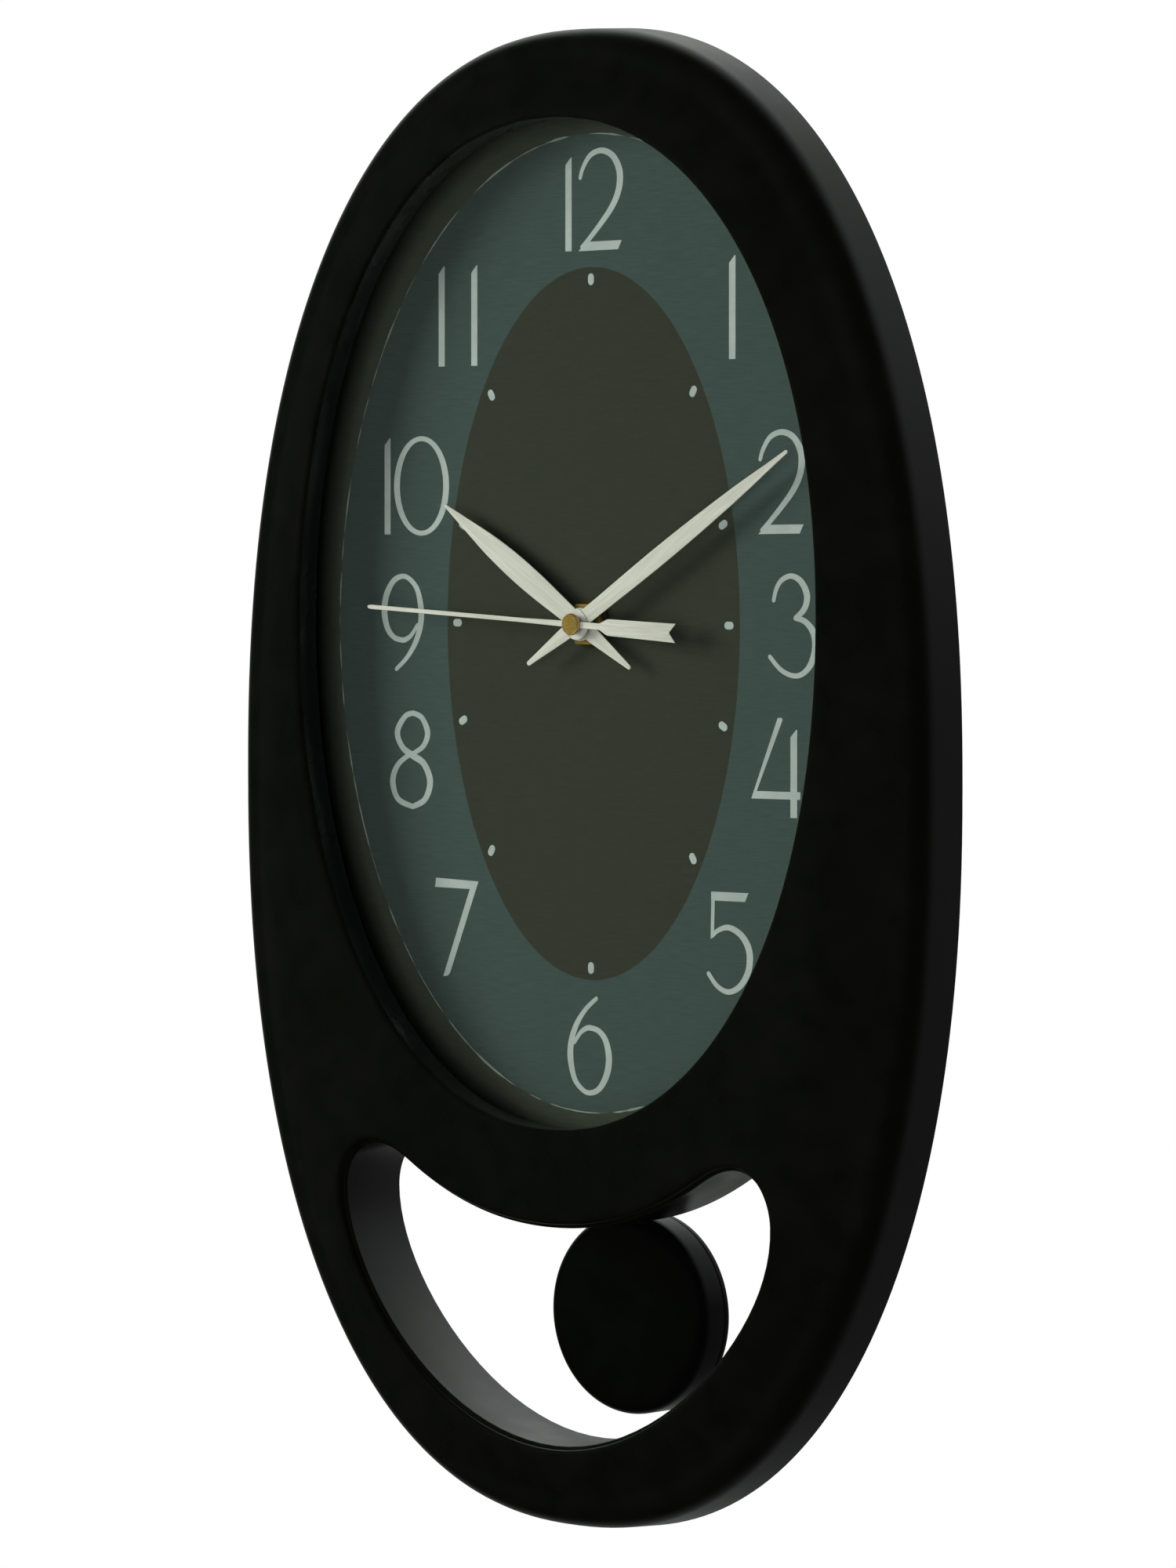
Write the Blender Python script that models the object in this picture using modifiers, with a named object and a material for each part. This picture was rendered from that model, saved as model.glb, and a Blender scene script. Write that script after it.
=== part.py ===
"""Oval pendulum wall clock with a quartz movement.

Frame: +Z is up, the dial faces -Y and the wall is the plane Y = 0. The origin is the point of the
hanger plate's keyhole where the nail's shank rests. Metres.

Most pieces are drawn about the middle of the dial's printed face, which is their object's origin:
x to the right, y backwards from the printed face towards the wall, z up.
"""
import math

import bmesh
import bpy
from mathutils import geometry

MM = 0.001

# The clock's place on the wall
WALL_GAP = 31.5 * MM            # printed face to wall
HOOK_HEIGHT = 118.0 * MM        # dial centre to nail
DIAL_CENTRE = (0.0, -WALL_GAP, -HOOK_HEIGHT)
GAP = 0.3 * MM                  # left between pieces that touch

# Body outline: a superellipse, lower than the dial's centre
BODY_HALF_WIDTH = 133.7 * MM
BODY_HALF_HEIGHT = 222.2 * MM
BODY_DROP = 45.9 * MM
BODY_POWER = 2.264
FRAME_BACK = 6.2 * MM
FRAME_WALL = 2.4 * MM
SIDE_DRAFT = 0.7 * MM
SHOULDER_START = -5.0 * MM      # where the side wall turns into the rounded shoulder
SHOULDER_RADIUS = 8.8 * MM
FACE_RISE = 7.2 * MM            # how far the crowned face stands in front of the shoulder
FACE_RUN = 26.0 * MM            # the width over which it rises
OUTLINE_POINTS = 64
SHOULDER_STEPS = 3
FACE_STEPS = 3

# Dial opening, crystal and dial
OPENING_HALF_WIDTH = 100.7 * MM
OPENING_HALF_HEIGHT = 148.6 * MM
OPENING_POWER = 2.12
OPENING_WALL_END = -12.0 * MM
GLASS_GROW = 12.7 * MM          # how far crystal and dial reach behind the opening's edge
GLASS_THICKNESS = 1.4 * MM
SPACER_WALL = 2.4 * MM
DIAL_THICKNESS = 0.6 * MM
DIAL_PLATE_BACK = 3.2 * MM
DIAL_HOLE_RADIUS = 4.4 * MM

# Rear housing
HOUSING_FLANGE_GROW = 22.8 * MM
HOUSING_SCREW_GROW = 18.8 * MM
HOUSING_SCREWS = 6
BOSS_RADIUS = 3.4 * MM
PILOT_RADIUS = 1.5 * MM
WINDOW_HALF_WIDTH = 31.0 * MM
WINDOW_TOP = 33.0 * MM
WINDOW_BOTTOM = -77.0 * MM

# Movement
CASE_HALF_WIDTH = 28.0 * MM
CASE_TOP = 28.0 * MM
CASE_BOTTOM = -62.0 * MM
CASE_FRONT = 3.5 * MM
CASE_BACK = 19.0 * MM
CASE_WALL = 1.2 * MM
COVER_FRONT = CASE_BACK + GAP
COVER_BACK = 20.5 * MM
BATTERY_Z = -24.0 * MM
BATTERY_Y = 11.8 * MM
BATTERY_RADIUS = 7.1 * MM
WHEEL_THICKNESS = 0.9 * MM
THIRD_AXIS = (-10.3 * MM, -2.0 * MM)
FIFTH_AXIS = (6.5 * MM, 6.5 * MM)
ROTOR_AXIS = (12.3 * MM, 9.0 * MM)
MOTION_AXIS = (9.5 * MM, -5.4 * MM)

# Hands: lengths from the axis, and the angles they show, clockwise from twelve
HOUR_LENGTH, HOUR_TAIL, HOUR_ANGLE = 64.5 * MM, 23.4 * MM, 303.3
MINUTE_LENGTH, MINUTE_TAIL, MINUTE_ANGLE = 95.0 * MM, 22.8 * MM, 57.8
SECOND_LENGTH, SECOND_TAIL, SECOND_ANGLE = 82.3 * MM, 39.9 * MM, 273.3

# Pendulum
PIVOT_Z = -38.0 * MM
LEVER_FRONT = 20.8 * MM
LEVER_BACK = 22.4 * MM
ROD_FRONT = 22.7 * MM
ROD_BACK = 23.5 * MM
HOOK_Z = -71.0 * MM
ROD_END_Z = -198.0 * MM
BOB_Z = -206.3 * MM
BOB_RADIUS = 30.2 * MM
BOB_FRONT = 14.0 * MM
BOB_BACK = 28.2 * MM
BOB_EDGE = 4.6 * MM
BOB_WALL = 1.8 * MM
BOB_SPLIT = 25.0 * MM
BOB_EDGE_STEPS = 3
BOB_SIDES = 36

# name: (sRGB hex, roughness, metallic)
FINISHES = {
    "black_plastic": ("141412", 0.38, 0.0),
    "glass": ("F4F8F6", 0.03, 0.0),
    "dial_print": ("3A4541", 0.55, 0.2),
    "dark_plastic": ("2A2A28", 0.55, 0.0),
    "white_plastic": ("D8D4C8", 0.5, 0.0),
    "brushed_hand": ("C9CABF", 0.35, 1.0),
    "brass": ("B59A5C", 0.3, 1.0),
    "steel": ("9A9C9E", 0.35, 1.0),
    "copper": ("A8643C", 0.35, 1.0),
    "board": ("3C5A3A", 0.6, 0.0),
    "magnet": ("3B3B3D", 0.5, 0.6),
    "battery_wrap": ("2F3F55", 0.35, 0.1),
}


def clear_scene():
    for item in list(bpy.data.objects):
        bpy.data.objects.remove(item, do_unlink=True)


def collection(name):
    made = bpy.data.collections.new(name)
    bpy.context.scene.collection.children.link(made)
    return made


def channel(value):
    """One sRGB channel as linear light."""
    if value <= 0.04045:
        return value / 12.92
    return ((value + 0.055) / 1.055) ** 2.4


def make_material(name):
    hex_code, roughness, metallic = FINISHES[name]
    rgb = [channel(int(hex_code[i:i + 2], 16) / 255) for i in (0, 2, 4)]
    material = bpy.data.materials.new(name)
    material.use_nodes = True
    shader = material.node_tree.nodes["Principled BSDF"]
    shader.inputs["Base Color"].default_value = (*rgb, 1.0)
    shader.inputs["Roughness"].default_value = roughness
    shader.inputs["Metallic"].default_value = metallic
    return material


clear_scene()
PARTS = collection("oval_pendulum_clock")
CUTTERS = collection("cutters")
MATERIALS = {name: make_material(name) for name in FINISHES}


# ---------------------------------------------------------------- outlines

def superellipse(half_width, half_height, power, drop=0.0, count=OUTLINE_POINTS):
    """Points (x, z) of an oval that is fuller than an ellipse when power is over 2."""
    points = []
    for step in range(count):
        angle = 2 * math.pi * step / count
        c, s = math.cos(angle), math.sin(angle)
        x = math.copysign(abs(c) ** (2 / power), c) * half_width
        z = math.copysign(abs(s) ** (2 / power), s) * half_height
        points.append((x, z - drop))
    return points


def circle(radius, x=0.0, z=0.0, count=32):
    return [(x + radius * math.cos(2 * math.pi * i / count),
             z + radius * math.sin(2 * math.pi * i / count)) for i in range(count)]


def rectangle(left, right, bottom, top):
    return [(left, bottom), (right, bottom), (right, top), (left, top)]


def grow(points, distance):
    """The outline moved outwards by a distance, which is negative to shrink it."""
    grown = []
    count = len(points)
    for i, (x, z) in enumerate(points):
        before, after = points[i - 1], points[(i + 1) % count]
        dx, dz = after[0] - before[0], after[1] - before[1]
        length = math.hypot(dx, dz)
        grown.append((x + dz / length * distance, z - dx / length * distance))
    return grown


def body_outline(inset=0.0):
    return grow(superellipse(BODY_HALF_WIDTH, BODY_HALF_HEIGHT, BODY_POWER, BODY_DROP), -inset)


def opening_outline(extra=0.0):
    return grow(superellipse(OPENING_HALF_WIDTH, OPENING_HALF_HEIGHT, OPENING_POWER), extra)


def crescent_outline(extra=0.0, steps=8):
    """The smile-shaped window: knots of one half as (before, knot, after) handles, in mm."""
    half = [
        ((-44.0, -242.5), (0.0, -242.5), (44.0, -242.5)),
        ((83.0, -200.0), (83.0, -172.0), (83.0, -163.0)),
        ((77.0, -156.8), (70.0, -156.8), (65.5, -156.8)),
        ((61.3, -158.8), (57.0, -161.4), (40.0, -171.9)),
        ((22.0, -177.8), (0.0, -177.8), (-22.0, -177.8)),
    ]
    mirrored = [tuple((-x, z) for x, z in reversed(knot)) for knot in half[-2:0:-1]]
    knots = half + mirrored
    points = []
    for i, (_, start, leave) in enumerate(knots):
        arrive, end, _ = knots[(i + 1) % len(knots)]
        corners = [(x * MM, z * MM, 0.0) for x, z in (start, leave, arrive, end)]
        curve = geometry.interpolate_bezier(*corners, steps + 1)
        points += [(p.x, p.y) for p in curve[:-1]]
    return grow(points, extra)


# ---------------------------------------------------------------- solids

def place(name, mesh, finish, origin=(0.0, 0.0, 0.0), target=None):
    """Put a mesh in the clock: origin is measured from the dial's centre."""
    made = bpy.data.objects.new(name, mesh)
    (target or PARTS).objects.link(made)
    made.location = [a + b for a, b in zip(DIAL_CENTRE, origin)]
    if finish:
        mesh.materials.append(MATERIALS[finish])
    return made


def as_cutter(item):
    item.hide_render = True
    item.display_type = "WIRE"
    return item


def loft(name, sections, finish=None, origin=(0.0, 0.0, 0.0), target=None):
    """A closed skin over like-numbered outlines, each (points, y), with flat ends."""
    mesh = bpy.data.meshes.new(name)
    bm = bmesh.new()
    rings = [[bm.verts.new((x, y, z)) for x, z in points] for points, y in sections]
    count = len(rings[0])
    for near, far in zip(rings, rings[1:]):
        for i in range(count):
            j = (i + 1) % count
            bm.faces.new((near[i], near[j], far[j], far[i]))
    bm.faces.new(rings[0])
    bm.faces.new(rings[-1])
    bmesh.ops.recalc_face_normals(bm, faces=bm.faces)
    bm.to_mesh(mesh)
    bm.free()
    mesh.shade_smooth()
    mesh.set_sharp_from_angle(angle=math.radians(30))
    return place(name, mesh, finish, origin, target)


def plate(name, outlines, front, back, finish=None, origin=(0.0, 0.0, 0.0), target=None):
    """A flat piece from y = front to y = back: its outline, then the outlines of its holes."""
    curve = bpy.data.curves.new(name, "CURVE")
    curve.dimensions = "2D"
    curve.fill_mode = "BOTH"
    curve.extrude = (back - front) / 2
    for points in outlines:
        spline = curve.splines.new("POLY")
        spline.points.add(len(points) - 1)
        for point, (x, z) in zip(spline.points, points):
            point.co = (x, z, 0.0, 1.0)
        spline.use_cyclic_u = True
    drawn = bpy.data.objects.new(name + "_outline", curve)
    CUTTERS.objects.link(drawn)
    graph = bpy.context.evaluated_depsgraph_get()
    mesh = bpy.data.meshes.new_from_object(drawn.evaluated_get(graph))
    bpy.data.objects.remove(drawn, do_unlink=True)
    mesh.name = name
    bm = bmesh.new()
    bm.from_mesh(mesh)
    bmesh.ops.remove_doubles(bm, verts=bm.verts, dist=1e-6)
    bm.to_mesh(mesh)
    bm.free()
    made = place(name, mesh, finish, origin, target)
    made.location.y += (front + back) / 2
    made.rotation_euler.x = math.radians(90)
    return made


def turned(name, profile, finish=None, origin=(0.0, 0.0, 0.0), sides=32, ring=False, target=None):
    """A profile of (radius, y) turned about the y axis, listed from the front round to the back."""
    mesh = bpy.data.meshes.new(name)
    bm = bmesh.new()
    verts = [bm.verts.new((radius, 0.0, -y)) for radius, y in profile]
    for start, end in zip(verts, verts[1:]):
        bm.edges.new((start, end))
    if ring:
        bm.edges.new((verts[-1], verts[0]))
    bm.to_mesh(mesh)
    bm.free()
    made = place(name, mesh, finish, origin, target)
    made.rotation_euler.x = math.radians(90)
    spin = made.modifiers.new("turn", "SCREW")
    spin.steps = sides
    spin.render_steps = sides
    spin.use_merge_vertices = True
    spin.merge_threshold = 1e-6
    spin.use_smooth_shade = True
    return made


def pin(name, radius, front, back, finish=None, origin=(0.0, 0.0, 0.0), sides=16, target=None):
    """A plain cylinder along y, from front to back."""
    profile = [(0.0, front), (radius, front), (radius, back), (0.0, back)]
    return turned(name, profile, finish, origin, sides, target=target)


def block(name, low, high, finish=None, target=None):
    """A box between two corners, given from the dial's centre."""
    mesh = bpy.data.meshes.new(name)
    bm = bmesh.new()
    bmesh.ops.create_cube(bm, size=1.0)
    size = [b - a for a, b in zip(low, high)]
    middle = [(a + b) / 2 for a, b in zip(low, high)]
    bmesh.ops.scale(bm, vec=size, verts=bm.verts)
    bmesh.ops.translate(bm, vec=middle, verts=bm.verts)
    bm.to_mesh(mesh)
    bm.free()
    return place(name, mesh, finish, target=target)


def boolean(item, other, operation):
    modifier = item.modifiers.new(operation.lower(), "BOOLEAN")
    modifier.operation = operation
    modifier.solver = "EXACT"
    modifier.object = as_cutter(other)


def cut(item, *others):
    for other in others:
        boolean(item, other, "DIFFERENCE")


def join(item, *others):
    for other in others:
        boolean(item, other, "UNION")


def gear_outline(teeth, tip_radius, depth):
    """Straight-sided teeth: two points on each tip and two in each root."""
    points = []
    for tooth in range(teeth):
        for fraction, radius in ((0.0, tip_radius), (0.22, tip_radius),
                                 (0.42, tip_radius - depth), (0.8, tip_radius - depth)):
            angle = 2 * math.pi * (tooth + fraction) / teeth
            points.append((radius * math.cos(angle), radius * math.sin(angle)))
    return points


# ---------------------------------------------------------------- case of the clock

def body_sections(wall):
    """Sections of the body, or of the hollow inside it when wall is over zero."""
    sections = [(body_outline(wall), FRAME_BACK + wall)]
    inset = SIDE_DRAFT + wall
    for step in range(SHOULDER_STEPS + 1):
        angle = math.radians(90) * step / SHOULDER_STEPS
        radius = SHOULDER_RADIUS - wall
        across = inset + radius * (1 - math.cos(angle))
        forward = SHOULDER_START - radius * math.sin(angle)
        sections.append((body_outline(across), forward))
    shoulder_inset = SIDE_DRAFT + SHOULDER_RADIUS
    shoulder_front = SHOULDER_START - SHOULDER_RADIUS + wall
    for step in range(1, FACE_STEPS + 1):
        share = step / FACE_STEPS
        rise = FACE_RISE * math.sin(math.radians(90) * share)
        sections.append((body_outline(shoulder_inset + FACE_RUN * share), shoulder_front - rise))
    return sections


def screw_places():
    """Where the housing's screws go, one at the top and the others evenly round."""
    ring = opening_outline(HOUSING_SCREW_GROW)
    first = OUTLINE_POINTS // 4
    stride = OUTLINE_POINTS / HOUSING_SCREWS
    return [ring[round(first + i * stride) % OUTLINE_POINTS] for i in range(HOUSING_SCREWS)]


def make_front_frame():
    frame = loft("front_frame", body_sections(0.0), "black_plastic")
    hollow = loft("frame_hollow", body_sections(FRAME_WALL), target=CUTTERS)
    far = 60.0 * MM
    cut(hollow, loft("opening_tube", [(opening_outline(FRAME_WALL), -far),
                                      (opening_outline(FRAME_WALL), OPENING_WALL_END)],
                     target=CUTTERS))
    cut(hollow, plate("crescent_tube", [crescent_outline(FRAME_WALL)], -far, far, target=CUTTERS))
    for number, (x, z) in enumerate(screw_places(), 1):
        boss = pin(f"boss_{number}", BOSS_RADIUS, -far, far, origin=(x, 0.0, z), target=CUTTERS)
        cut(hollow, boss)
    cut(frame, hollow)
    cut(frame, plate("opening_cut", [opening_outline()], -far, far, target=CUTTERS))
    cut(frame, plate("crescent_cut", [crescent_outline()], -far, far, target=CUTTERS))
    for number, (x, z) in enumerate(screw_places(), 1):
        cut(frame, pin(f"pilot_{number}", PILOT_RADIUS, -5.0 * MM, far, origin=(x, 0.0, z),
                       sides=12, target=CUTTERS))


def make_dial_stack():
    edge = opening_outline(GLASS_GROW)
    glass_front = OPENING_WALL_END + GAP
    glass_back = glass_front + GLASS_THICKNESS
    plate("dial_glass", [edge], glass_front, glass_back, "glass")
    inner = opening_outline(GLASS_GROW - SPACER_WALL)
    plate("dial_spacer", [edge, inner], glass_back + GAP, -GAP, "dark_plastic")
    hole = circle(DIAL_HOLE_RADIUS)
    plate("dial", [edge, hole], 0.0, DIAL_THICKNESS, "dial_print")
    plate("dial_plate", [edge, hole], DIAL_THICKNESS + GAP, DIAL_PLATE_BACK, "dark_plastic")


def housing_sections():
    """A pan: from the middle of its outer back, round the flange, to its inner back."""
    flange_front = FRAME_BACK + GAP
    step_front = DIAL_PLATE_BACK + GAP
    steps = [
        (-3.0, WALL_GAP), (0.0, 30.6 * MM), (1.4, 28.6 * MM), (5.0, 8.7 * MM),
        (HOUSING_FLANGE_GROW / MM, 8.7 * MM), (HOUSING_FLANGE_GROW / MM, flange_front),
        (12.2, flange_front), (12.2, step_front), (7.0, step_front), (2.8, 8.7 * MM),
        (-0.8, 28.2 * MM), (-2.2, 29.3 * MM),
    ]
    return [(opening_outline(extra * MM), y) for extra, y in steps]


def make_rear_housing():
    housing = loft("rear_housing", housing_sections(), "black_plastic")
    window = rectangle(-WINDOW_HALF_WIDTH, WINDOW_HALF_WIDTH, WINDOW_BOTTOM, WINDOW_TOP)
    cut(housing, plate("window_cut", [window], 25.0 * MM, 40.0 * MM, target=CUTTERS))
    hanger = rectangle(-9.0 * MM, 9.0 * MM, HOOK_HEIGHT - 18.0 * MM, HOOK_HEIGHT + 6.0 * MM)
    cut(housing, plate("hanger_cut", [hanger], 25.0 * MM, 40.0 * MM, target=CUTTERS))
    cut(housing, block("rod_slot_cut", (-22.0 * MM, 17.0 * MM, -165.0 * MM),
                       (22.0 * MM, 27.4 * MM, -130.0 * MM), target=CUTTERS))
    for number, (x, z) in enumerate(screw_places(), 1):
        cut(housing, pin(f"clearance_{number}", 1.8 * MM, 0.0, 12.0 * MM, origin=(x, 0.0, z),
                         sides=12, target=CUTTERS))
    for side in (-1, 1):
        cut(housing, pin(f"rivet_hole_{side}", 1.5 * MM, 25.0 * MM, 40.0 * MM,
                         origin=(side * 11.0 * MM, 0.0, HOOK_HEIGHT - 6.0 * MM), sides=12,
                         target=CUTTERS))


def make_housing_screws():
    profile = [(0.0, -3.5), (1.2, -3.5), (1.2, 9.0), (3.0, 9.0), (3.0, 9.7), (1.9, 10.7), (0.0, 10.7)]
    for number, (x, z) in enumerate(screw_places(), 1):
        turned(f"housing_screw_{number}", [(r * MM, y * MM) for r, y in profile], "steel",
               origin=(x, 0.0, z), sides=12)


def make_hanger():
    top, bottom = HOOK_HEIGHT + 10.0 * MM, HOOK_HEIGHT - 22.0 * MM
    outline = rectangle(-13.0 * MM, 13.0 * MM, bottom, top)
    rivets = [circle(1.5 * MM, side * 11.0 * MM, HOOK_HEIGHT - 6.0 * MM, 12) for side in (-1, 1)]
    slot, hole, hole_drop = 2.6 * MM, 5.0 * MM, 10.0 * MM
    keyhole = [(slot * math.cos(a), HOOK_HEIGHT + slot * math.sin(a))
               for a in (math.radians(i * 22.5) for i in range(9))]
    lean = math.asin(slot / hole)
    for i in range(17):
        angle = math.radians(90) + lean + (2 * math.pi - 2 * lean) * i / 16
        keyhole.append((hole * math.cos(angle), HOOK_HEIGHT - hole_drop + hole * math.sin(angle)))
    plate("hanger_plate", [outline, keyhole] + rivets, 28.0 * MM, 29.0 * MM, "steel")
    profile = [(0.0, 26.9), (1.6, 26.9), (2.3, 27.7), (1.2, 27.7), (1.2, 31.2), (0.0, 31.2)]
    for number, side in enumerate((-1, 1), 1):
        turned(f"hanger_rivet_{number}", [(r * MM, y * MM) for r, y in profile], "steel",
               origin=(side * 11.0 * MM, 0.0, HOOK_HEIGHT - 6.0 * MM), sides=12)


# ---------------------------------------------------------------- movement

def make_movement_case():
    case = block("movement_case", (-CASE_HALF_WIDTH, CASE_FRONT, CASE_BOTTOM),
                 (CASE_HALF_WIDTH, CASE_BACK, CASE_TOP), "dark_plastic")
    floor = CASE_FRONT + CASE_WALL
    left, right = -CASE_HALF_WIDTH + CASE_WALL, CASE_HALF_WIDTH - CASE_WALL
    tray_top, tray_bottom = BATTERY_Z + 8.4 * MM, BATTERY_Z - 8.4 * MM
    rooms = {"gear_room": (tray_top + CASE_WALL, CASE_TOP - CASE_WALL),
             "battery_room": (tray_bottom, tray_top),
             "pendulum_room": (CASE_BOTTOM + CASE_WALL, tray_bottom - CASE_WALL)}
    for name, (bottom, top) in rooms.items():
        cut(case, block(name, (left, floor, bottom), (right, 30.0 * MM, top), target=CUTTERS))
    join(case, pin("threaded_boss", 4.0 * MM, -3.4 * MM, 4.0 * MM, sides=24, target=CUTTERS))
    cut(case, pin("boss_bore", 2.85 * MM, -6.0 * MM, 8.0 * MM, sides=24, target=CUTTERS))


def make_movement_cover():
    cover = block("movement_cover", (-CASE_HALF_WIDTH, COVER_FRONT, CASE_BOTTOM),
                  (CASE_HALF_WIDTH, COVER_BACK, CASE_TOP), "dark_plastic")
    cut(cover, block("battery_door", (-26.0 * MM, 15.0 * MM, BATTERY_Z - 7.6 * MM),
                     (26.0 * MM, 25.0 * MM, BATTERY_Z + 7.6 * MM), target=CUTTERS))
    x, z = MOTION_AXIS
    cut(cover, pin("knob_hole", 1.6 * MM, 15.0 * MM, 25.0 * MM, origin=(x, 0.0, z), target=CUTTERS))
    cut(cover, pin("pivot_hole", 1.5 * MM, 15.0 * MM, 25.0 * MM, origin=(0.0, 0.0, PIVOT_Z),
                   target=CUTTERS))


def make_fixing():
    washer = [(4.3, -0.9), (7.2, -0.9), (7.2, -0.3), (4.3, -0.3)]
    turned("fixing_washer", [(r * MM, y * MM) for r, y in washer], "brass", ring=True)
    hexagon = circle(6.9 * MM, count=6)
    plate("fixing_nut", [hexagon, circle(4.3 * MM, count=24)], -3.1 * MM, -1.2 * MM, "brass")


def make_wheel(name, teeth, radius, front, arbor, axis=(0.0, 0.0), pinion=None, bore=0.0):
    """A toothed wheel with its arbor (radius, front, back) and pinion (radius, front, back)."""
    origin = (axis[0], 0.0, axis[1])
    wheel = plate(name, [gear_outline(teeth, radius, 1.0 * MM)], front, front + WHEEL_THICKNESS,
                  "white_plastic" if bore else "brass", origin=origin)
    join(wheel, pin(name + "_arbor", *arbor, origin=origin, target=CUTTERS))
    if pinion:
        join(wheel, pin(name + "_leaves", *pinion, origin=origin, target=CUTTERS))
    if bore:
        cut(wheel, pin(name + "_bore", bore, -20.0 * MM, 30.0 * MM, origin=origin, target=CUTTERS))
    return wheel


def make_gear_train():
    make_wheel("hour_wheel", 16, 8.2 * MM, 6.0 * MM, (2.55 * MM, -5.3 * MM, 6.4 * MM), bore=1.9 * MM)
    make_wheel("centre_wheel", 16, 8.5 * MM, 9.2 * MM, (1.6 * MM, -7.2 * MM, 9.6 * MM),
               pinion=(2.3 * MM, 7.5 * MM, 9.4 * MM), bore=0.85 * MM)
    make_wheel("second_wheel", 16, 7.5 * MM, 13.5 * MM, (0.5 * MM, -8.6 * MM, 17.0 * MM),
               pinion=(1.2 * MM, 11.3 * MM, 13.7 * MM))
    make_wheel("third_wheel", 16, 8.9 * MM, 11.4 * MM, (0.5 * MM, 5.2 * MM, 17.0 * MM),
               axis=THIRD_AXIS, pinion=(1.5 * MM, 9.0 * MM, 11.6 * MM))
    make_wheel("fifth_wheel", 12, 5.0 * MM, 15.2 * MM, (0.5 * MM, 5.2 * MM, 17.6 * MM),
               axis=FIFTH_AXIS, pinion=(1.3 * MM, 13.4 * MM, 15.4 * MM))
    make_wheel("motion_wheel", 16, 8.2 * MM, 7.5 * MM, (1.0 * MM, 5.2 * MM, 10.5 * MM),
               axis=MOTION_AXIS, pinion=(2.3 * MM, 5.6 * MM, 7.7 * MM))


def make_setting_knob():
    knob = [(0.0, 10.8), (1.0, 10.8), (1.0, 20.8), (5.0, 20.8), (5.0, 23.0), (4.5, 23.5), (0.0, 23.5)]
    turned("setting_knob", [(r * MM, y * MM) for r, y in knob], "white_plastic",
           origin=(MOTION_AXIS[0], 0.0, MOTION_AXIS[1]), sides=20)


def make_motor():
    x, z = ROTOR_AXIS
    arbor = [(0.0, 5.2), (0.4, 5.2), (0.4, 15.0), (0.9, 15.0), (0.9, 17.6), (0.0, 17.6)]
    turned("rotor_arbor", [(r * MM, y * MM) for r, y in arbor], "steel", origin=(x, 0.0, z), sides=12)
    magnet = [(0.75, 9.8), (3.0, 9.8), (3.0, 12.4), (0.75, 12.4)]
    turned("rotor_magnet", [(r * MM, y * MM) for r, y in magnet], "magnet", origin=(x, 0.0, z),
           sides=20, ring=True)
    corners = [(8.0, 3.0), (24.0, 3.0), (24.0, 23.0), (20.0, 23.0), (20.0, 20.7), (-16.0, 20.7),
               (-16.0, 18.3), (8.0, 18.3)]
    plate("stator", [[(a * MM, b * MM) for a, b in corners], circle(3.6 * MM, x, z, 24)],
          10.4 * MM, 11.4 * MM, "steel")
    winding = turned("drive_coil", [(1.6 * MM, -9.0 * MM), (3.4 * MM, -9.0 * MM),
                                    (3.4 * MM, 9.0 * MM), (1.6 * MM, 9.0 * MM)],
                     "copper", origin=(-4.0 * MM, 10.9 * MM, 19.5 * MM), sides=20, ring=True)
    winding.rotation_euler.z = math.radians(90)


def make_electronics():
    block("circuit_board", (-26.0 * MM, 6.0 * MM, 9.5 * MM), (-12.5 * MM, 7.0 * MM, 26.0 * MM), "board")
    quartz = [(0.0, -3.0), (1.0, -3.0), (1.0, 3.0), (0.0, 3.0)]
    can = turned("quartz_can", [(r * MM, y * MM) for r, y in quartz], "steel",
                 origin=(-23.0 * MM, 8.4 * MM, 20.0 * MM), sides=16)
    can.rotation_euler.x = 0.0
    turned("control_chip", [(0.0, 7.3 * MM), (2.6 * MM, 7.3 * MM), (2.6 * MM, 7.3 * MM + 0.1 * MM),
                            (1.8 * MM, 8.4 * MM), (0.0, 8.7 * MM)], "dark_plastic",
           origin=(-17.5 * MM, 0.0, 13.5 * MM), sides=20)


def make_battery():
    half = 24.6 * MM
    profile = [(0.0, -half - 1.0 * MM), (2.7 * MM, -half - 1.0 * MM), (2.7 * MM, -half),
               (6.6 * MM, -half), (BATTERY_RADIUS, -half + 0.5 * MM),
               (BATTERY_RADIUS, half - 0.5 * MM), (6.6 * MM, half), (0.0, half)]
    cell = turned("battery", profile, "battery_wrap", origin=(0.0, BATTERY_Y, BATTERY_Z), sides=28)
    cell.rotation_euler.z = math.radians(90)
    block("battery_contact_positive", (26.0 * MM, 6.0 * MM, BATTERY_Z - 5.0 * MM),
          (26.5 * MM, 17.5 * MM, BATTERY_Z + 5.0 * MM), "steel")
    block("battery_contact_negative", (-26.5 * MM, 6.0 * MM, BATTERY_Z - 5.0 * MM),
          (-26.0 * MM, 17.5 * MM, BATTERY_Z + 5.0 * MM), "steel")


# ---------------------------------------------------------------- hands

def leaf_outline(length, tail, widest, widest_at, hub, tail_width, tip=0.5 * MM):
    """A slender leaf: half-widths at stations from the tail's point to the tip, then mirrored."""
    stations = [
        (-tail, tip), (-tail * 0.85, tail_width * 0.25), (-tail * 0.5, tail_width * 0.5),
        (0.0, hub), (widest_at * 0.5, widest * 0.46), (widest_at, widest * 0.5),
        (length * 0.72, widest * 0.36), (length * 0.93, tip * 1.8), (length, tip * 0.8),
    ]
    right = [(half, along) for along, half in stations]
    left = [(-half, along) for along, half in reversed(stations)]
    return right + left


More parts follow.
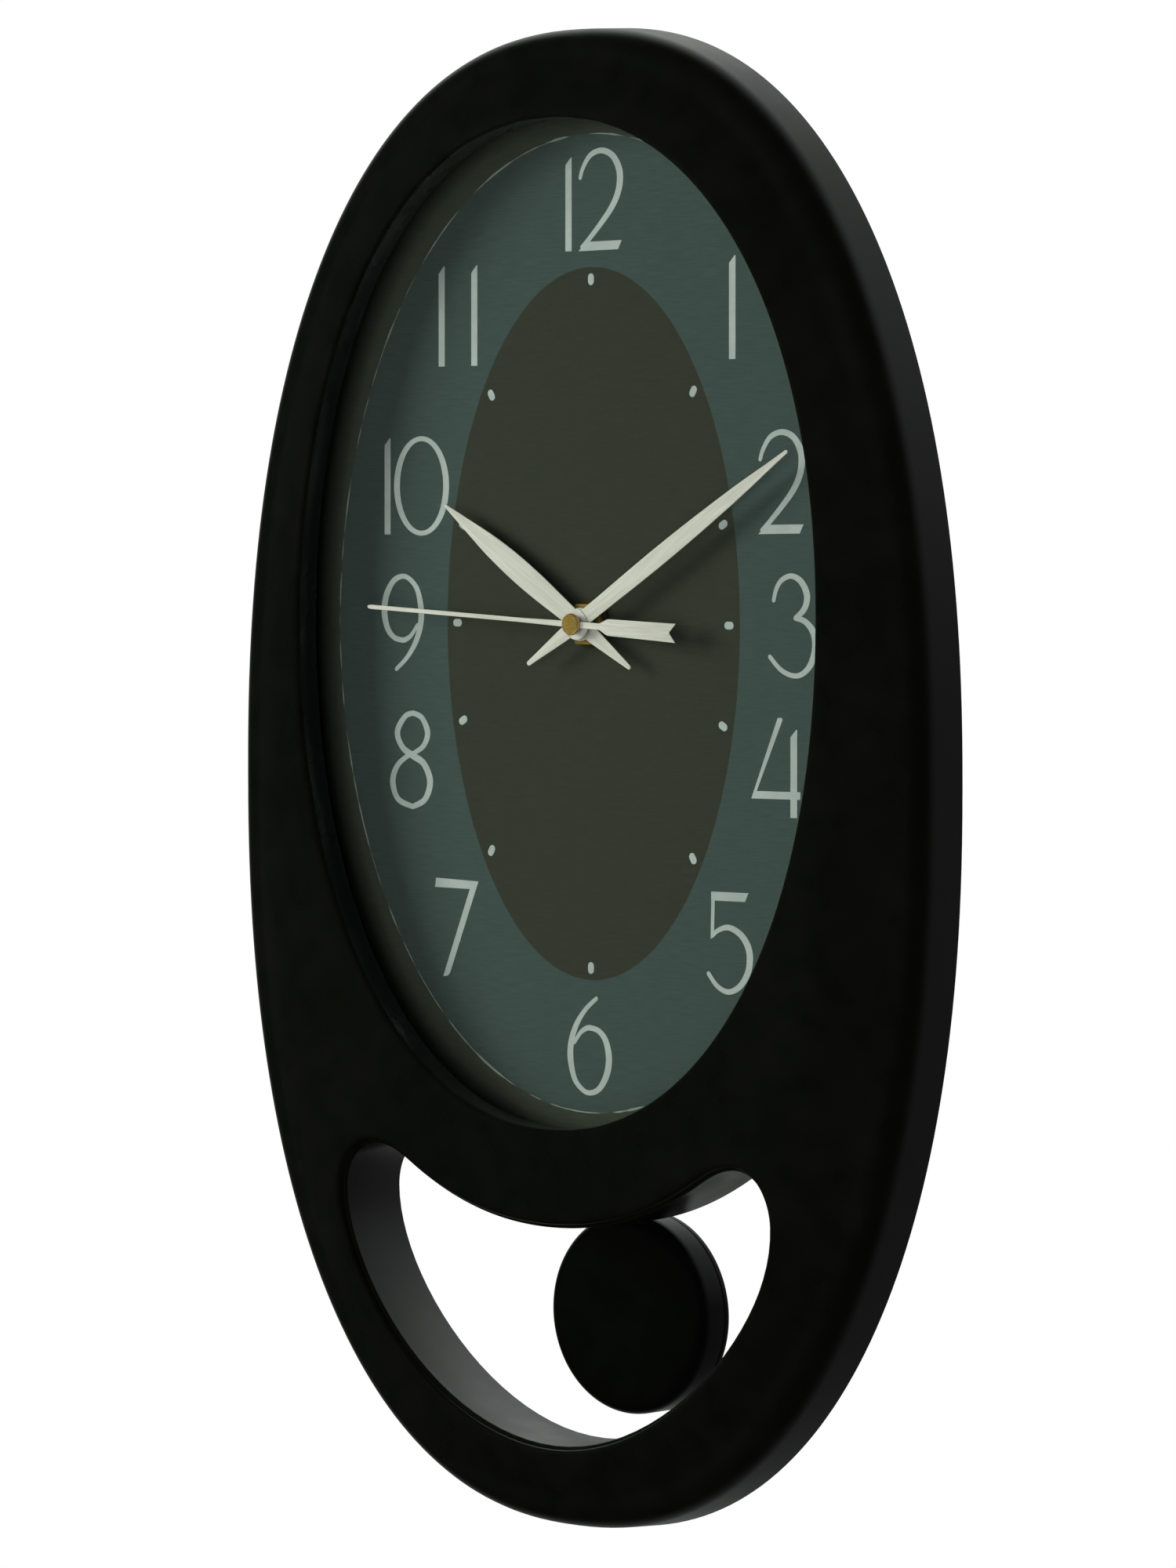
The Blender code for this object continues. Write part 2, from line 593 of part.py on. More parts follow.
def turn_outline(points, angle):
    """Turned clockwise, as a hand turns, by an angle in degrees."""
    c, s = math.cos(math.radians(angle)), math.sin(math.radians(angle))
    return [(x * c + z * s, z * c - x * s) for x, z in points]


def make_hand(name, outline, angle, front, back, bore, hub):
    """A flat blade with a round hub joined to it, bored for its tube."""
    blade = plate(name, [turn_outline(outline, angle)], front, back, "brushed_hand")
    join(blade, pin(name + "_hub", hub, front, back, sides=32, target=CUTTERS))
    cut(blade, pin(name + "_bore", bore, -20.0 * MM, 10.0 * MM, sides=20, target=CUTTERS))


def second_outline():
    """A needle with a paddle tail that ends in a notch."""
    needle, paddle = 0.65 * MM, 2.8 * MM
    right = [(0.5 * MM, SECOND_LENGTH), (needle, SECOND_LENGTH - 0.5 * MM), (needle, -10.5 * MM),
             (2.0 * MM, -13.5 * MM), (paddle, -SECOND_TAIL)]
    notch = [(0.0, -SECOND_TAIL + 2.4 * MM)]
    left = [(-x, z) for x, z in reversed(right)]
    return right + notch + left


def make_hands():
    hour = leaf_outline(HOUR_LENGTH, HOUR_TAIL, 7.6 * MM, 25.0 * MM, 2.6 * MM, 6.0 * MM)
    make_hand("hour_hand", hour, HOUR_ANGLE, -5.1 * MM, -4.7 * MM, 2.85 * MM, 4.9 * MM)
    minute = leaf_outline(MINUTE_LENGTH, MINUTE_TAIL, 5.6 * MM, 30.0 * MM, 2.3 * MM, 5.2 * MM)
    make_hand("minute_hand", minute, MINUTE_ANGLE, -6.8 * MM, -6.4 * MM, 1.9 * MM, 4.6 * MM)
    make_hand("second_hand", second_outline(), SECOND_ANGLE, -8.6 * MM, -8.3 * MM, 0.8 * MM, 3.0 * MM)
    collars = {"hour_collar": (2.85, 4.4, -4.4, -3.7), "minute_collar": (1.9, 3.9, -6.1, -5.6),
               "second_collar": (0.8, 1.9, -8.0, -7.5)}
    for name, (bore, outer, front, back) in collars.items():
        ring = [(bore, front), (outer, front), (outer, back), (bore, back)]
        turned(name, [(r * MM, y * MM) for r, y in ring], "steel", sides=24, ring=True)
    cap = [(0.0, -9.9), (2.6, -9.85), (3.1, -9.6), (3.25, -9.3), (3.25, -8.9), (0.0, -8.9)]
    turned("second_cap", [(r * MM, y * MM) for r, y in cap], "brass", sides=32)


# ---------------------------------------------------------------- pendulum

def make_pendulum_drive():
    coil = [(3.0, 12.0), (8.0, 12.0), (8.0, 18.6), (3.0, 18.6)]
    turned("pendulum_coil", [(r * MM, y * MM) for r, y in coil], "copper",
           origin=(0.0, 0.0, -50.5 * MM), sides=28, ring=True)
    post = [(0.0, 17.0), (2.4, 17.0), (2.4, 18.9), (1.1, 18.9), (1.1, 26.0), (0.0, 26.0)]
    turned("pendulum_pivot", [(r * MM, y * MM) for r, y in post], "steel",
           origin=(0.0, 0.0, PIVOT_Z), sides=20)
    clip = [(1.4, 24.0), (2.8, 24.0), (2.8, 24.6), (1.4, 24.6)]
    turned("pivot_clip", [(r * MM, y * MM) for r, y in clip], "steel", origin=(0.0, 0.0, PIVOT_Z),
           sides=20, ring=True)


def hang(item, holder):
    """Parent a piece to the pendulum's empty, keeping its place."""
    item.parent = holder
    item.location = item.location - holder.location


def make_pendulum():
    holder = bpy.data.objects.new("pendulum_axis", None)
    PARTS.objects.link(holder)
    holder.location = (0.0, -WALL_GAP, -HOOK_HEIGHT + PIVOT_Z)

    drop = HOOK_Z - PIVOT_Z
    right = [(3.2, drop / MM - 3.2), (3.2, -18.0), (5.2, -12.0), (5.2, 0.0)]
    top = [(5.2 * math.cos(a), 5.2 * math.sin(a)) for a in (math.radians(i * 22.5) for i in range(1, 8))]
    left = [(-x, z) for x, z in reversed(right)]
    outline = [(x * MM, z * MM) for x, z in right + top + left]
    at_pivot = (0.0, 0.0, PIVOT_Z)
    lever = plate("pendulum_lever", [outline, circle(1.5 * MM, count=16)], LEVER_FRONT, LEVER_BACK,
                  "white_plastic", origin=at_pivot)
    join(lever, pin("lever_stud", 1.0 * MM, LEVER_BACK - 0.8 * MM, 24.4 * MM,
                    origin=(0.0, 0.0, HOOK_Z), target=CUTTERS))
    magnet = pin("lever_magnet", 4.2 * MM, 22.7 * MM, 25.2 * MM, "magnet",
                 origin=(0.0, 0.0, -50.5 * MM), sides=24)

    half = 1.8 * MM
    strip = rectangle(-half, half, ROD_END_Z - HOOK_Z, 4.0 * MM)
    rod = plate("pendulum_rod", [strip, circle(1.35 * MM, count=16)], ROD_FRONT, ROD_BACK, "steel",
                origin=(0.0, 0.0, HOOK_Z))

    at_bob = (0.0, 0.0, BOB_Z)
    front = turned("bob_front", bob_front_profile(), "black_plastic", origin=at_bob, sides=BOB_SIDES)
    join(front, pin("bob_post", 3.0 * MM, BOB_FRONT + 1.0 * MM, BOB_SPLIT - 0.2 * MM, origin=at_bob,
                    target=CUTTERS))
    cut(front, pin("bob_pilot", 1.2 * MM, 19.0 * MM, 40.0 * MM, origin=at_bob, sides=12,
                   target=CUTTERS))
    cut(front, block("bob_notch", (-2.5 * MM, 22.2 * MM, BOB_Z + 20.0 * MM),
                     (2.5 * MM, 30.0 * MM, BOB_Z + 35.0 * MM), target=CUTTERS))
    lid_front = BOB_SPLIT + GAP
    lid = [(1.5 * MM, lid_front), (BOB_RADIUS, lid_front), (BOB_RADIUS, BOB_BACK - 1.6 * MM),
           (BOB_RADIUS - 0.7 * MM, BOB_BACK - 0.4 * MM), (BOB_RADIUS - 2.0 * MM, BOB_BACK),
           (1.5 * MM, BOB_BACK)]
    back = turned("bob_back", lid, "black_plastic", origin=at_bob, sides=BOB_SIDES, ring=True)
    screw = [(0.0, 20.0), (0.9, 20.0), (0.9, 28.5), (2.2, 28.5), (2.2, 29.2), (0.0, 29.4)]
    bob_screw = turned("bob_screw", [(r * MM, y * MM) for r, y in screw], "steel", origin=at_bob,
                       sides=16)
    for item in (lever, magnet, rod, front, back, bob_screw):
        hang(item, holder)


def bob_front_profile():
    """A dish: flat front, rounded edge, straight side, and the same inside."""
    outer = [(0.0, BOB_FRONT)]
    inner = []
    for step in range(BOB_EDGE_STEPS + 1):
        angle = math.radians(90) * step / BOB_EDGE_STEPS
        for radius, line in ((BOB_EDGE, outer), (BOB_EDGE - BOB_WALL, inner)):
            line.append((BOB_RADIUS - BOB_EDGE + radius * math.sin(angle),
                         BOB_FRONT + BOB_EDGE - radius * math.cos(angle)))
    outer.append((BOB_RADIUS, BOB_SPLIT))
    inner.append((BOB_RADIUS - BOB_WALL, BOB_SPLIT))
    return outer + inner[::-1] + [(0.0, BOB_FRONT + BOB_WALL)]


def main():
    make_front_frame()
    make_dial_stack()
    make_rear_housing()
    make_housing_screws()
    make_hanger()
    make_movement_case()
    make_movement_cover()
    make_fixing()
    make_gear_train()
    make_setting_knob()
    make_motor()
    make_electronics()
    make_battery()
    make_hands()
    make_pendulum_drive()
    make_pendulum()


main()
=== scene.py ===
# %% [markdown]
# # An oval wall clock with a pendulum
# The clock is a black moulded shell round an oval dial, with a smile-shaped window below it where a
# round bob swings. The frame that is loaded here holds every working part in its true place, so each
# piece that is drawn below only has to be finer than its plain solid, never somewhere else.

# %% Load the fixed frame
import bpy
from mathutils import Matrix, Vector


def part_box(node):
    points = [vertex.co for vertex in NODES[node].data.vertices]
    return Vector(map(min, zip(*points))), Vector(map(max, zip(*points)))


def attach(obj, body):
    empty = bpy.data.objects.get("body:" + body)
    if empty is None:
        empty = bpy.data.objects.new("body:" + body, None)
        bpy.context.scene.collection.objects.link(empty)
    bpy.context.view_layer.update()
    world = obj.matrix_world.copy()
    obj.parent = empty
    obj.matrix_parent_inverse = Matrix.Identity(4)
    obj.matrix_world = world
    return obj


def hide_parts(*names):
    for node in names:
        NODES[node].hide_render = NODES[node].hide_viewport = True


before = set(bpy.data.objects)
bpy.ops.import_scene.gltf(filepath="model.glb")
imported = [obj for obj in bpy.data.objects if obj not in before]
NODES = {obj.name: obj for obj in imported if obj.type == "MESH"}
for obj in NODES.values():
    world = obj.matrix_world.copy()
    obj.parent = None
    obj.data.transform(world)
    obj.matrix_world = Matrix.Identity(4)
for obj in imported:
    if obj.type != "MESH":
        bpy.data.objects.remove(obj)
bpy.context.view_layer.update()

# %% [markdown]
# The dial's own box tells where its middle is. The frame is in metres, and the wall is the plane y = 0.

# %% Tools and the dial's place
import math

import bmesh
import bpy
import numpy as np
from mathutils import Matrix, Vector, geometry

MM = 0.001
dial_low, dial_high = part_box("dial")
DIAL_CENTRE = Vector(((dial_low.x + dial_high.x) / 2, dial_low.y, (dial_low.z + dial_high.z) / 2))
TO_PLACE = Matrix.Translation(DIAL_CENTRE) @ Matrix.Scale(MM, 4)
WALL_PLANE = -DIAL_CENTRE.y / MM
print("dial centre, mm:", [round(v / MM, 2) for v in DIAL_CENTRE], "wall at", round(WALL_PLANE, 2))

# %% [markdown]
# ## How a piece joins the clock
# Every piece is drawn in millimetres about the middle of the printed dial: x to the right, y backwards
# to the wall and z up. One matrix then puts the mesh in its place, and the object itself stays at the
# origin, unturned. The last step says which body the piece rides on and which solid it stands for.

# %% Finishing a mesh as a piece of the clock
def smooth(mesh, angle=35.0):
    """Rounded surfaces shade smoothly, and edges sharper than the angle stay crisp."""
    mesh.shade_smooth()
    mesh.set_sharp_from_angle(angle=math.radians(angle))


def placed(name, data):
    """A new object in the scene."""
    item = bpy.data.objects.new(name, data)
    bpy.context.scene.collection.objects.link(item)
    return item


def evaluated_mesh(item):
    """The mesh that an object's modifiers or curve settings give. The object itself goes."""
    graph = bpy.context.evaluated_depsgraph_get()
    mesh = bpy.data.meshes.new_from_object(item.evaluated_get(graph))
    bpy.data.objects.remove(item, do_unlink=True)
    return mesh


def piece(name, mesh, body, slot, finish, *stands_for):
    """Put a mesh in its place on a body. stands_for names the plain solids that it replaces."""
    mesh.transform(TO_PLACE)
    mesh.materials.clear()
    mesh.materials.append(finish)
    mesh.name = name
    made = placed(name, mesh)
    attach(made, body)
    if stands_for:
        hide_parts(*stands_for)
    print("piece:", name, "on", body, len(mesh.polygons), "faces")


def joined(meshes):
    """Several meshes as one."""
    bm = bmesh.new()
    for mesh in meshes:
        bm.from_mesh(mesh)
    whole = bpy.data.meshes.new("joined")
    bm.to_mesh(whole)
    bm.free()
    return whole


# %% [markdown]
# ## Outlines
# The shell and the dial opening are superellipses, ovals a little fuller than an ellipse. A formula
# gives as many points as a smooth edge needs, and moving each point along its own normal gives every
# parallel line: the rounded lip, the wall behind it, the edge of the crystal.

# %% Ovals and parallel outlines
FINE = 256


def oval(half_width, half_height, power=2.0, drop=0.0, count=FINE):
    points = []
    for step in range(count):
        angle = 2 * math.pi * step / count
        c, s = math.cos(angle), math.sin(angle)
        points.append((math.copysign(abs(c) ** (2 / power), c) * half_width,
                       math.copysign(abs(s) ** (2 / power), s) * half_height - drop))
    return points


def grow(points, distance):
    grown = []
    for i, (x, z) in enumerate(points):
        before, after = points[i - 1], points[(i + 1) % len(points)]
        dx, dz = after[0] - before[0], after[1] - before[1]
        length = math.hypot(dx, dz)
        grown.append((x + dz / length * distance, z - dx / length * distance))
    return grown


def arc(radius, start, end, steps, centre=(0.0, 0.0)):
    """Points on an arc from one angle to another, both ends included."""
    angles = [start + (end - start) * k / steps for k in range(steps + 1)]
    return [(centre[0] + radius * math.cos(a), centre[1] + radius * math.sin(a)) for a in angles]


def shifted(points, dx, dz):
    return [(x + dx, z + dz) for x, z in points]


def mirror(points):
    """The same line on the other side, run backwards, so that the two join up."""
    return [(-x, z) for x, z in reversed(points)]


BODY = dict(half_width=133.7, half_height=222.2, power=2.264, drop=45.9)
OPENING = dict(half_width=100.7, half_height=148.6, power=2.12)


def body_edge(inset=0.0):
    return grow(oval(**BODY), -inset)


def opening_edge(extra=0.0):
    return grow(oval(**OPENING), extra)


def window_edge(extra=0.0, steps=24):
    """The smile-shaped window: (handle before, knot, handle after) down its right half, mirrored."""
    half = [
        ((-44.0, -242.5), (0.0, -242.5), (44.0, -242.5)),
        ((83.0, -200.0), (83.0, -172.0), (83.0, -163.0)),
        ((77.0, -156.8), (70.0, -156.8), (65.5, -156.8)),
        ((61.3, -158.8), (57.0, -161.4), (40.0, -171.9)),
        ((22.0, -177.8), (0.0, -177.8), (-22.0, -177.8)),
    ]
    knots = half + [tuple((-x, z) for x, z in reversed(knot)) for knot in half[-2:0:-1]]
    points = []
    for i, (_, start, leave) in enumerate(knots):
        arrive, end, _ = knots[(i + 1) % len(knots)]
        corners = [Vector((x, z, 0.0)) for x, z in (start, leave, arrive, end)]
        points += [(p.x, p.y) for p in geometry.interpolate_bezier(*corners, steps + 1)[:-1]]
    return grow(points, extra)


print("outline points:", len(body_edge()), len(opening_edge()), len(window_edge()))

# %% [markdown]
# ## Ways of making a solid
# Four ways, and two short forms of the second, cover nearly every piece. A **loft** skins over a row
# of outlines. A **turned** piece spins a profile, as a lathe would; a collar and a cylinder are plain
# ones. A **stamped** piece is a flat outline with holes whose edges are rounded over, which Blender's
# own flat curves do well. A **carved** piece has other solids cut from it.

# %% Loft, turned, stamped and carved solids
def ring_faces(bm, near, far):
    for i in range(len(near)):
        j = (i + 1) % len(near)
        bm.faces.new((near[i], near[j], far[j], far[i]))


def loft(sections):
    """A skin with flat ends over outlines, each (points, y)."""
    bm = bmesh.new()
    rings = [[bm.verts.new((x, y, z)) for x, z in points] for points, y in sections]
    for near, far in zip(rings, rings[1:]):
        ring_faces(bm, near, far)
    bm.faces.new(rings[0])
    bm.faces.new(rings[-1])
    return finished(bm)


def finished(bm, angle=35.0):
    """A closed mesh with its faces outwards."""
    bmesh.ops.recalc_face_normals(bm, faces=bm.faces)
    mesh = bpy.data.meshes.new("made")
    bm.to_mesh(mesh)
    bm.free()
    smooth(mesh, angle)
    return mesh


def softened(profile, radius, steps=3, closed=False):
    """A profile with every inner corner rounded by an arc."""
    points = [Vector(p) for p in profile]
    result = []
    for i, corner in enumerate(points):
        if not closed and i in (0, len(points) - 1):
            result.append(tuple(corner))
            continue
        back = points[i - 1] - corner
        on = points[(i + 1) % len(points)] - corner
        reach = min(radius, back.length * 0.45, on.length * 0.45)
        start, end = corner + back.normalized() * reach, corner + on.normalized() * reach
        for k in range(steps + 1):
            t = k / steps
            result.append(tuple(start * (1 - t) ** 2 + corner * 2 * t * (1 - t) + end * t ** 2))
    return result


def turned(profile, sides=64, centre=(0.0, 0.0), radius=0.25, ring=False):
    """A profile of (radius, y) spun about a line along y, with its corners rounded."""
    line = softened(profile, radius, closed=ring) if radius else profile
    bm = bmesh.new()
    rings = []
    for r, y in line:
        if r < 1e-6:
            rings.append([bm.verts.new((centre[0], y, centre[1]))])
        else:
            rings.append([bm.verts.new((centre[0] + r * math.cos(2 * math.pi * i / sides), y,
                                        centre[1] + r * math.sin(2 * math.pi * i / sides)))
                          for i in range(sides)])
    pairs = list(zip(rings, rings[1:])) + ([(rings[-1], rings[0])] if ring else [])
    for near, far in pairs:
        for i in range(sides):
            j = (i + 1) % sides
            corners = [near[i % len(near)], near[j % len(near)], far[j % len(far)], far[i % len(far)]]
            bm.faces.new(list(dict.fromkeys(corners)))
    return finished(bm)


def collar(bore, rim, front, back, sides=96, radius=0.2, centre=(0.0, 0.0)):
    """A turned ring of plain rectangular section, with its corners rounded."""
    section = [(bore, front), (rim, front), (rim, back), (bore, back)]
    return turned(section, sides, centre, radius, ring=True)


def cylinder(rim, front, back, centre, sides=32, radius=0.0):
    """A turned disc or pin from y = front to y = back."""
    return turned([(0, front), (rim, front), (rim, back), (0, back)], sides, centre, radius)


def stamped(outlines, front, back, edge=0.1, edge_steps=2):
    """A flat piece from y = front to y = back: its outline, then its holes, with rounded edges."""
    curve = bpy.data.curves.new("stamping", "CURVE")
    curve.dimensions = "2D"
    curve.fill_mode = "BOTH"
    curve.extrude = (back - front) / 2 - edge
    curve.bevel_depth = edge
    curve.bevel_resolution = edge_steps
    curve.offset = -edge
    for points in outlines:
        spline = curve.splines.new("POLY")
        spline.points.add(len(points) - 1)
        for point, (x, z) in zip(spline.points, points):
            point.co = (x, z, 0.0, 1.0)
        spline.use_cyclic_u = True
    mesh = evaluated_mesh(placed("stamping", curve))
    stand_up = Matrix.Rotation(math.pi / 2, 4, "X")
    mesh.transform(Matrix.Translation((0.0, (front + back) / 2, 0.0)) @ stand_up)
    bm = bmesh.new()
    bm.from_mesh(mesh)
    bmesh.ops.remove_doubles(bm, verts=bm.verts, dist=1e-4)
    bpy.data.meshes.remove(mesh)
    return finished(bm)


def block(low, high):
    """A box between two corners."""
    bm = bmesh.new()
    bmesh.ops.create_cube(bm, size=1.0)
    bmesh.ops.scale(bm, vec=Vector(high) - Vector(low), verts=bm.verts)
    bmesh.ops.translate(bm, vec=(Vector(high) + Vector(low)) / 2, verts=bm.verts)
    return finished(bm)


def carved(mesh, cutters):
    """The mesh with each cutter cut from it."""
    item = placed("blank", mesh)
    tools = [placed("cutter", cutter) for cutter in cutters]
    for tool in tools:
        modifier = item.modifiers.new("cut", "BOOLEAN")
        modifier.operation, modifier.solver, modifier.object = "DIFFERENCE", "EXACT", tool
    result = evaluated_mesh(item)
    for tool in tools:
        bpy.data.objects.remove(tool, do_unlink=True)
    smooth(result)
    return result


def softened_copy(node, radius):
    """A copy of a solid's mesh with its loose triangles merged and its sharp edges rounded, in mm."""
    bm = bmesh.new()
    bm.from_mesh(NODES[node].data)
    bm.transform(TO_PLACE.inverted())
    bmesh.ops.remove_doubles(bm, verts=bm.verts, dist=1e-3)
    bmesh.ops.dissolve_limit(bm, angle_limit=math.radians(1.0), verts=bm.verts, edges=bm.edges)
    sharp = [e for e in bm.edges if len(e.link_faces) == 2 and e.calc_face_angle(0.0) > math.radians(40)]
    bmesh.ops.bevel(bm, geom=sharp, offset=radius, segments=2, profile=0.5, affect="EDGES",
                    clamp_overlap=True)
    mesh = bpy.data.meshes.new("softened")
    bm.to_mesh(mesh)
    bm.free()
    smooth(mesh)
    return mesh

# %% [markdown]
# ## Rules that repeat a piece
# Hour marks, screws and the knob's ribs are each one small mesh set out again and again by a rule.
# Geometry Nodes state the rule once, with its sizes as named inputs. The first tree sets copies round
# an ellipse at equal angles as seen from its middle, each one pointing outwards.

# %% A helper that adds a node
def add(tree, kind, inputs=None, **settings):
    """A node with its settings, and with each input given a value or linked from another node."""
    node = tree.nodes.new(kind)
    for name, value in settings.items():
        setattr(node, name, value)
    for key, value in (inputs or {}).items():
        if isinstance(value, bpy.types.NodeSocket):
            tree.links.new(value, node.inputs[key])
        else:
            node.inputs[key].default_value = value
    return node


def maths(tree, operation, *values):
    return add(tree, "ShaderNodeMath", dict(enumerate(values)), operation=operation).outputs[0]


def start_tree(name, sizes):
    """A tree with Geometry and Material, and one named input for each size: (name, kind, value)."""
    tree = bpy.data.node_groups.new(name, "GeometryNodeTree")
    tree.interface.new_socket("Geometry", in_out="INPUT", socket_type="NodeSocketGeometry")
    for title, kind, value in sizes:
        made = tree.interface.new_socket(title, in_out="INPUT", socket_type="NodeSocket" + kind)
        made.default_value = value
    tree.interface.new_socket("Material", in_out="INPUT", socket_type="NodeSocketMaterial")
    tree.interface.new_socket("Geometry", in_out="OUTPUT", socket_type="NodeSocketGeometry")
    given = tree.nodes.new("NodeGroupInput").outputs
    return tree, given


def end_tree(tree, given, geometry_socket):
    """Make the copies real, give them the material and send them out."""
    real = add(tree, "GeometryNodeRealizeInstances", {"Geometry": geometry_socket})
    coloured = add(tree, "GeometryNodeSetMaterial",
                   {"Geometry": real.outputs[0], "Material": given["Material"]})
    add(tree, "NodeGroupOutput", {"Geometry": coloured.outputs[0]})


def grown(mesh, tree, sizes, finish):
    """The mesh after the tree has worked on it, as a plain mesh with no modifier."""
    item = placed("seed_piece", mesh)
    modifier = item.modifiers.new("rule", "NODES")
    modifier.node_group = tree
    for socket in tree.interface.items_tree:
        if socket.in_out == "INPUT" and socket.name in sizes:
            modifier[socket.identifier] = sizes[socket.name]
        elif socket.in_out == "INPUT" and socket.name == "Material":
            modifier[socket.identifier] = finish
    return evaluated_mesh(item)


# %% [markdown]
# Each copy's angle comes from its number, and its distance from how far the ellipse reaches that way.

# %% The tree that sets copies round an ellipse
def each_angle(tree, count):
    """The angle of each point, when so many of them share a full turn."""
    index = add(tree, "GeometryNodeInputIndex").outputs[0]
    return maths(tree, "MULTIPLY", maths(tree, "DIVIDE", index, count), 2 * math.pi)


def copies_round_an_ellipse():
    tree, given = start_tree("copies_round_an_ellipse", [
        ("Copies", "Int", 12), ("Half Width", "Float", 10.0), ("Half Height", "Float", 10.0)])
    angle = each_angle(tree, given["Copies"])
    sine = maths(tree, "SINE", angle)
    cosine = maths(tree, "COSINE", angle)
    across = maths(tree, "DIVIDE", sine, given["Half Width"])
    up = maths(tree, "DIVIDE", cosine, given["Half Height"])
    both = add(tree, "ShaderNodeCombineXYZ", {"X": across, "Z": up}).outputs[0]
    length = add(tree, "ShaderNodeVectorMath", {0: both}, operation="LENGTH").outputs["Value"]
    reach = maths(tree, "DIVIDE", 1.0, length)
    way = add(tree, "ShaderNodeCombineXYZ", {"X": sine, "Z": cosine}).outputs[0]
    place = add(tree, "ShaderNodeVectorMath", {0: way, "Scale": reach}, operation="SCALE").outputs[0]
    points = add(tree, "GeometryNodePoints", {"Count": given["Copies"], "Position": place})
    turn = add(tree, "ShaderNodeCombineXYZ", {"Y": angle}).outputs[0]
    turn = add(tree, "FunctionNodeEulerToRotation", {"Euler": turn}).outputs[0]
    copies = add(tree, "GeometryNodeInstanceOnPoints",
                 {"Points": points.outputs[0], "Instance": given["Geometry"], "Rotation": turn})
    end_tree(tree, given, copies.outputs[0])
    return tree


AROUND = copies_round_an_ellipse()
print("tree:", AROUND.name, [s.name for s in AROUND.interface.items_tree])

# %% [markdown]
# The second tree draws the superellipse itself from its half width, half height and power. It then
# does one of two jobs: it sweeps the given profile along the oval as a moulding, or it sets the given
# piece, such as a screw, at even steps along a line parallel to the oval.

# %% The trees that follow the oval
def oval_curve(tree, given):
    """Nodes that bend a circle into the superellipse, in the plane of the dial."""
    angle = each_angle(tree, given["Points"])
    power = maths(tree, "DIVIDE", 2.0, given["Power"])
    sides = []
    for wave, half in (("COSINE", "Half Width"), ("SINE", "Half Height")):
        value = maths(tree, wave, angle)
        sign = maths(tree, "SIGN", value)
        size = maths(tree, "ABSOLUTE", value)
        bent = maths(tree, "POWER", size, power)
        bent = maths(tree, "MULTIPLY", bent, sign)
        sides.append(maths(tree, "MULTIPLY", bent, given[half]))
    place = add(tree, "ShaderNodeCombineXYZ", {"X": sides[0], "Y": sides[1]}).outputs[0]
    circle = add(tree, "GeometryNodeCurvePrimitiveCircle", {"Resolution": given["Points"], "Radius": 1.0})
    shaped = add(tree, "GeometryNodeSetPosition", {"Geometry": circle.outputs[0], "Position": place})
    return add(tree, "GeometryNodeSetCurveNormal", {"Curve": shaped.outputs[0]}, mode="Z_UP").outputs[0]


STAND_UP = (math.pi / 2, 0.0, 0.0)      # from lying flat to facing forwards
OVAL_SIZES = [("Half Width", "Float", 100.7), ("Half Height", "Float", 148.6),
              ("Power", "Float", 2.12), ("Points", "Int", 256)]


def moulding_along_the_oval():
    tree, given = start_tree("moulding_along_the_oval", OVAL_SIZES)
    profile = add(tree, "GeometryNodeMeshToCurve", {"Mesh": given["Geometry"]}).outputs[0]
    swept = add(tree, "GeometryNodeCurveToMesh",
                {"Curve": oval_curve(tree, given), "Profile Curve": profile})
    stood = add(tree, "GeometryNodeTransform", {"Geometry": swept.outputs[0], "Rotation": STAND_UP})
    end_tree(tree, given, stood.outputs[0])
    return tree


def pieces_along_the_oval():
    """One piece wherever the point's number falls on one of the even steps."""
    tree, given = start_tree("pieces_along_the_oval", OVAL_SIZES + [
        ("Pieces", "Int", 6), ("Outwards", "Float", 18.8)])
    curve = oval_curve(tree, given)
    along = add(tree, "GeometryNodeInputTangent").outputs[0]
    across = add(tree, "ShaderNodeVectorMath", {0: along, 1: (0.0, 0.0, 1.0)}, operation="CROSS_PRODUCT")
    move = add(tree, "ShaderNodeVectorMath", {0: across.outputs[0], "Scale": given["Outwards"]},
               operation="SCALE").outputs[0]
    moved = add(tree, "GeometryNodeSetPosition", {"Geometry": curve, "Offset": move}).outputs[0]
    stood = add(tree, "GeometryNodeTransform", {"Geometry": moved, "Rotation": STAND_UP})
    index = add(tree, "GeometryNodeInputIndex").outputs[0]
    step = maths(tree, "MULTIPLY", index, given["Pieces"])
    left = maths(tree, "MODULO", step, given["Points"])
    half = maths(tree, "MULTIPLY", given["Points"], 0.5)
    away = maths(tree, "SUBTRACT", left, half)
    away = maths(tree, "ABSOLUTE", away)
    near = maths(tree, "MULTIPLY", given["Pieces"], 0.5)
    chosen = maths(tree, "LESS_THAN", away, near)
    copies = add(tree, "GeometryNodeInstanceOnPoints",
                 {"Points": stood.outputs[0], "Selection": chosen, "Instance": given["Geometry"]})
    end_tree(tree, given, copies.outputs[0])
    return tree


MOULDING = moulding_along_the_oval()
ALONG = pieces_along_the_oval()


def moulded(points, finish):
    """A closed profile of (outwards, backwards) in mm, swept along the oval."""
    profile = bpy.data.meshes.new("profile")
    edges = [(i, (i + 1) % len(points)) for i in range(len(points))]
    profile.from_pydata([(out, back, 0.0) for out, back in points], edges, [])
    bm = bmesh.new()
    bm.from_mesh(grown(profile, MOULDING, {}, finish))
    return finished(bm)


print("trees:", MOULDING.name, ALONG.name)

# %% [markdown]
# ## Finishes
# A material starts from what the real one is and how its surface was made. Colours are written as
# they look on a screen, and one function turns them into linear light. Patterns read the object's own
# coordinates in metres, so a scale of 1 / MM / size gives one wave for each `size` millimetres.

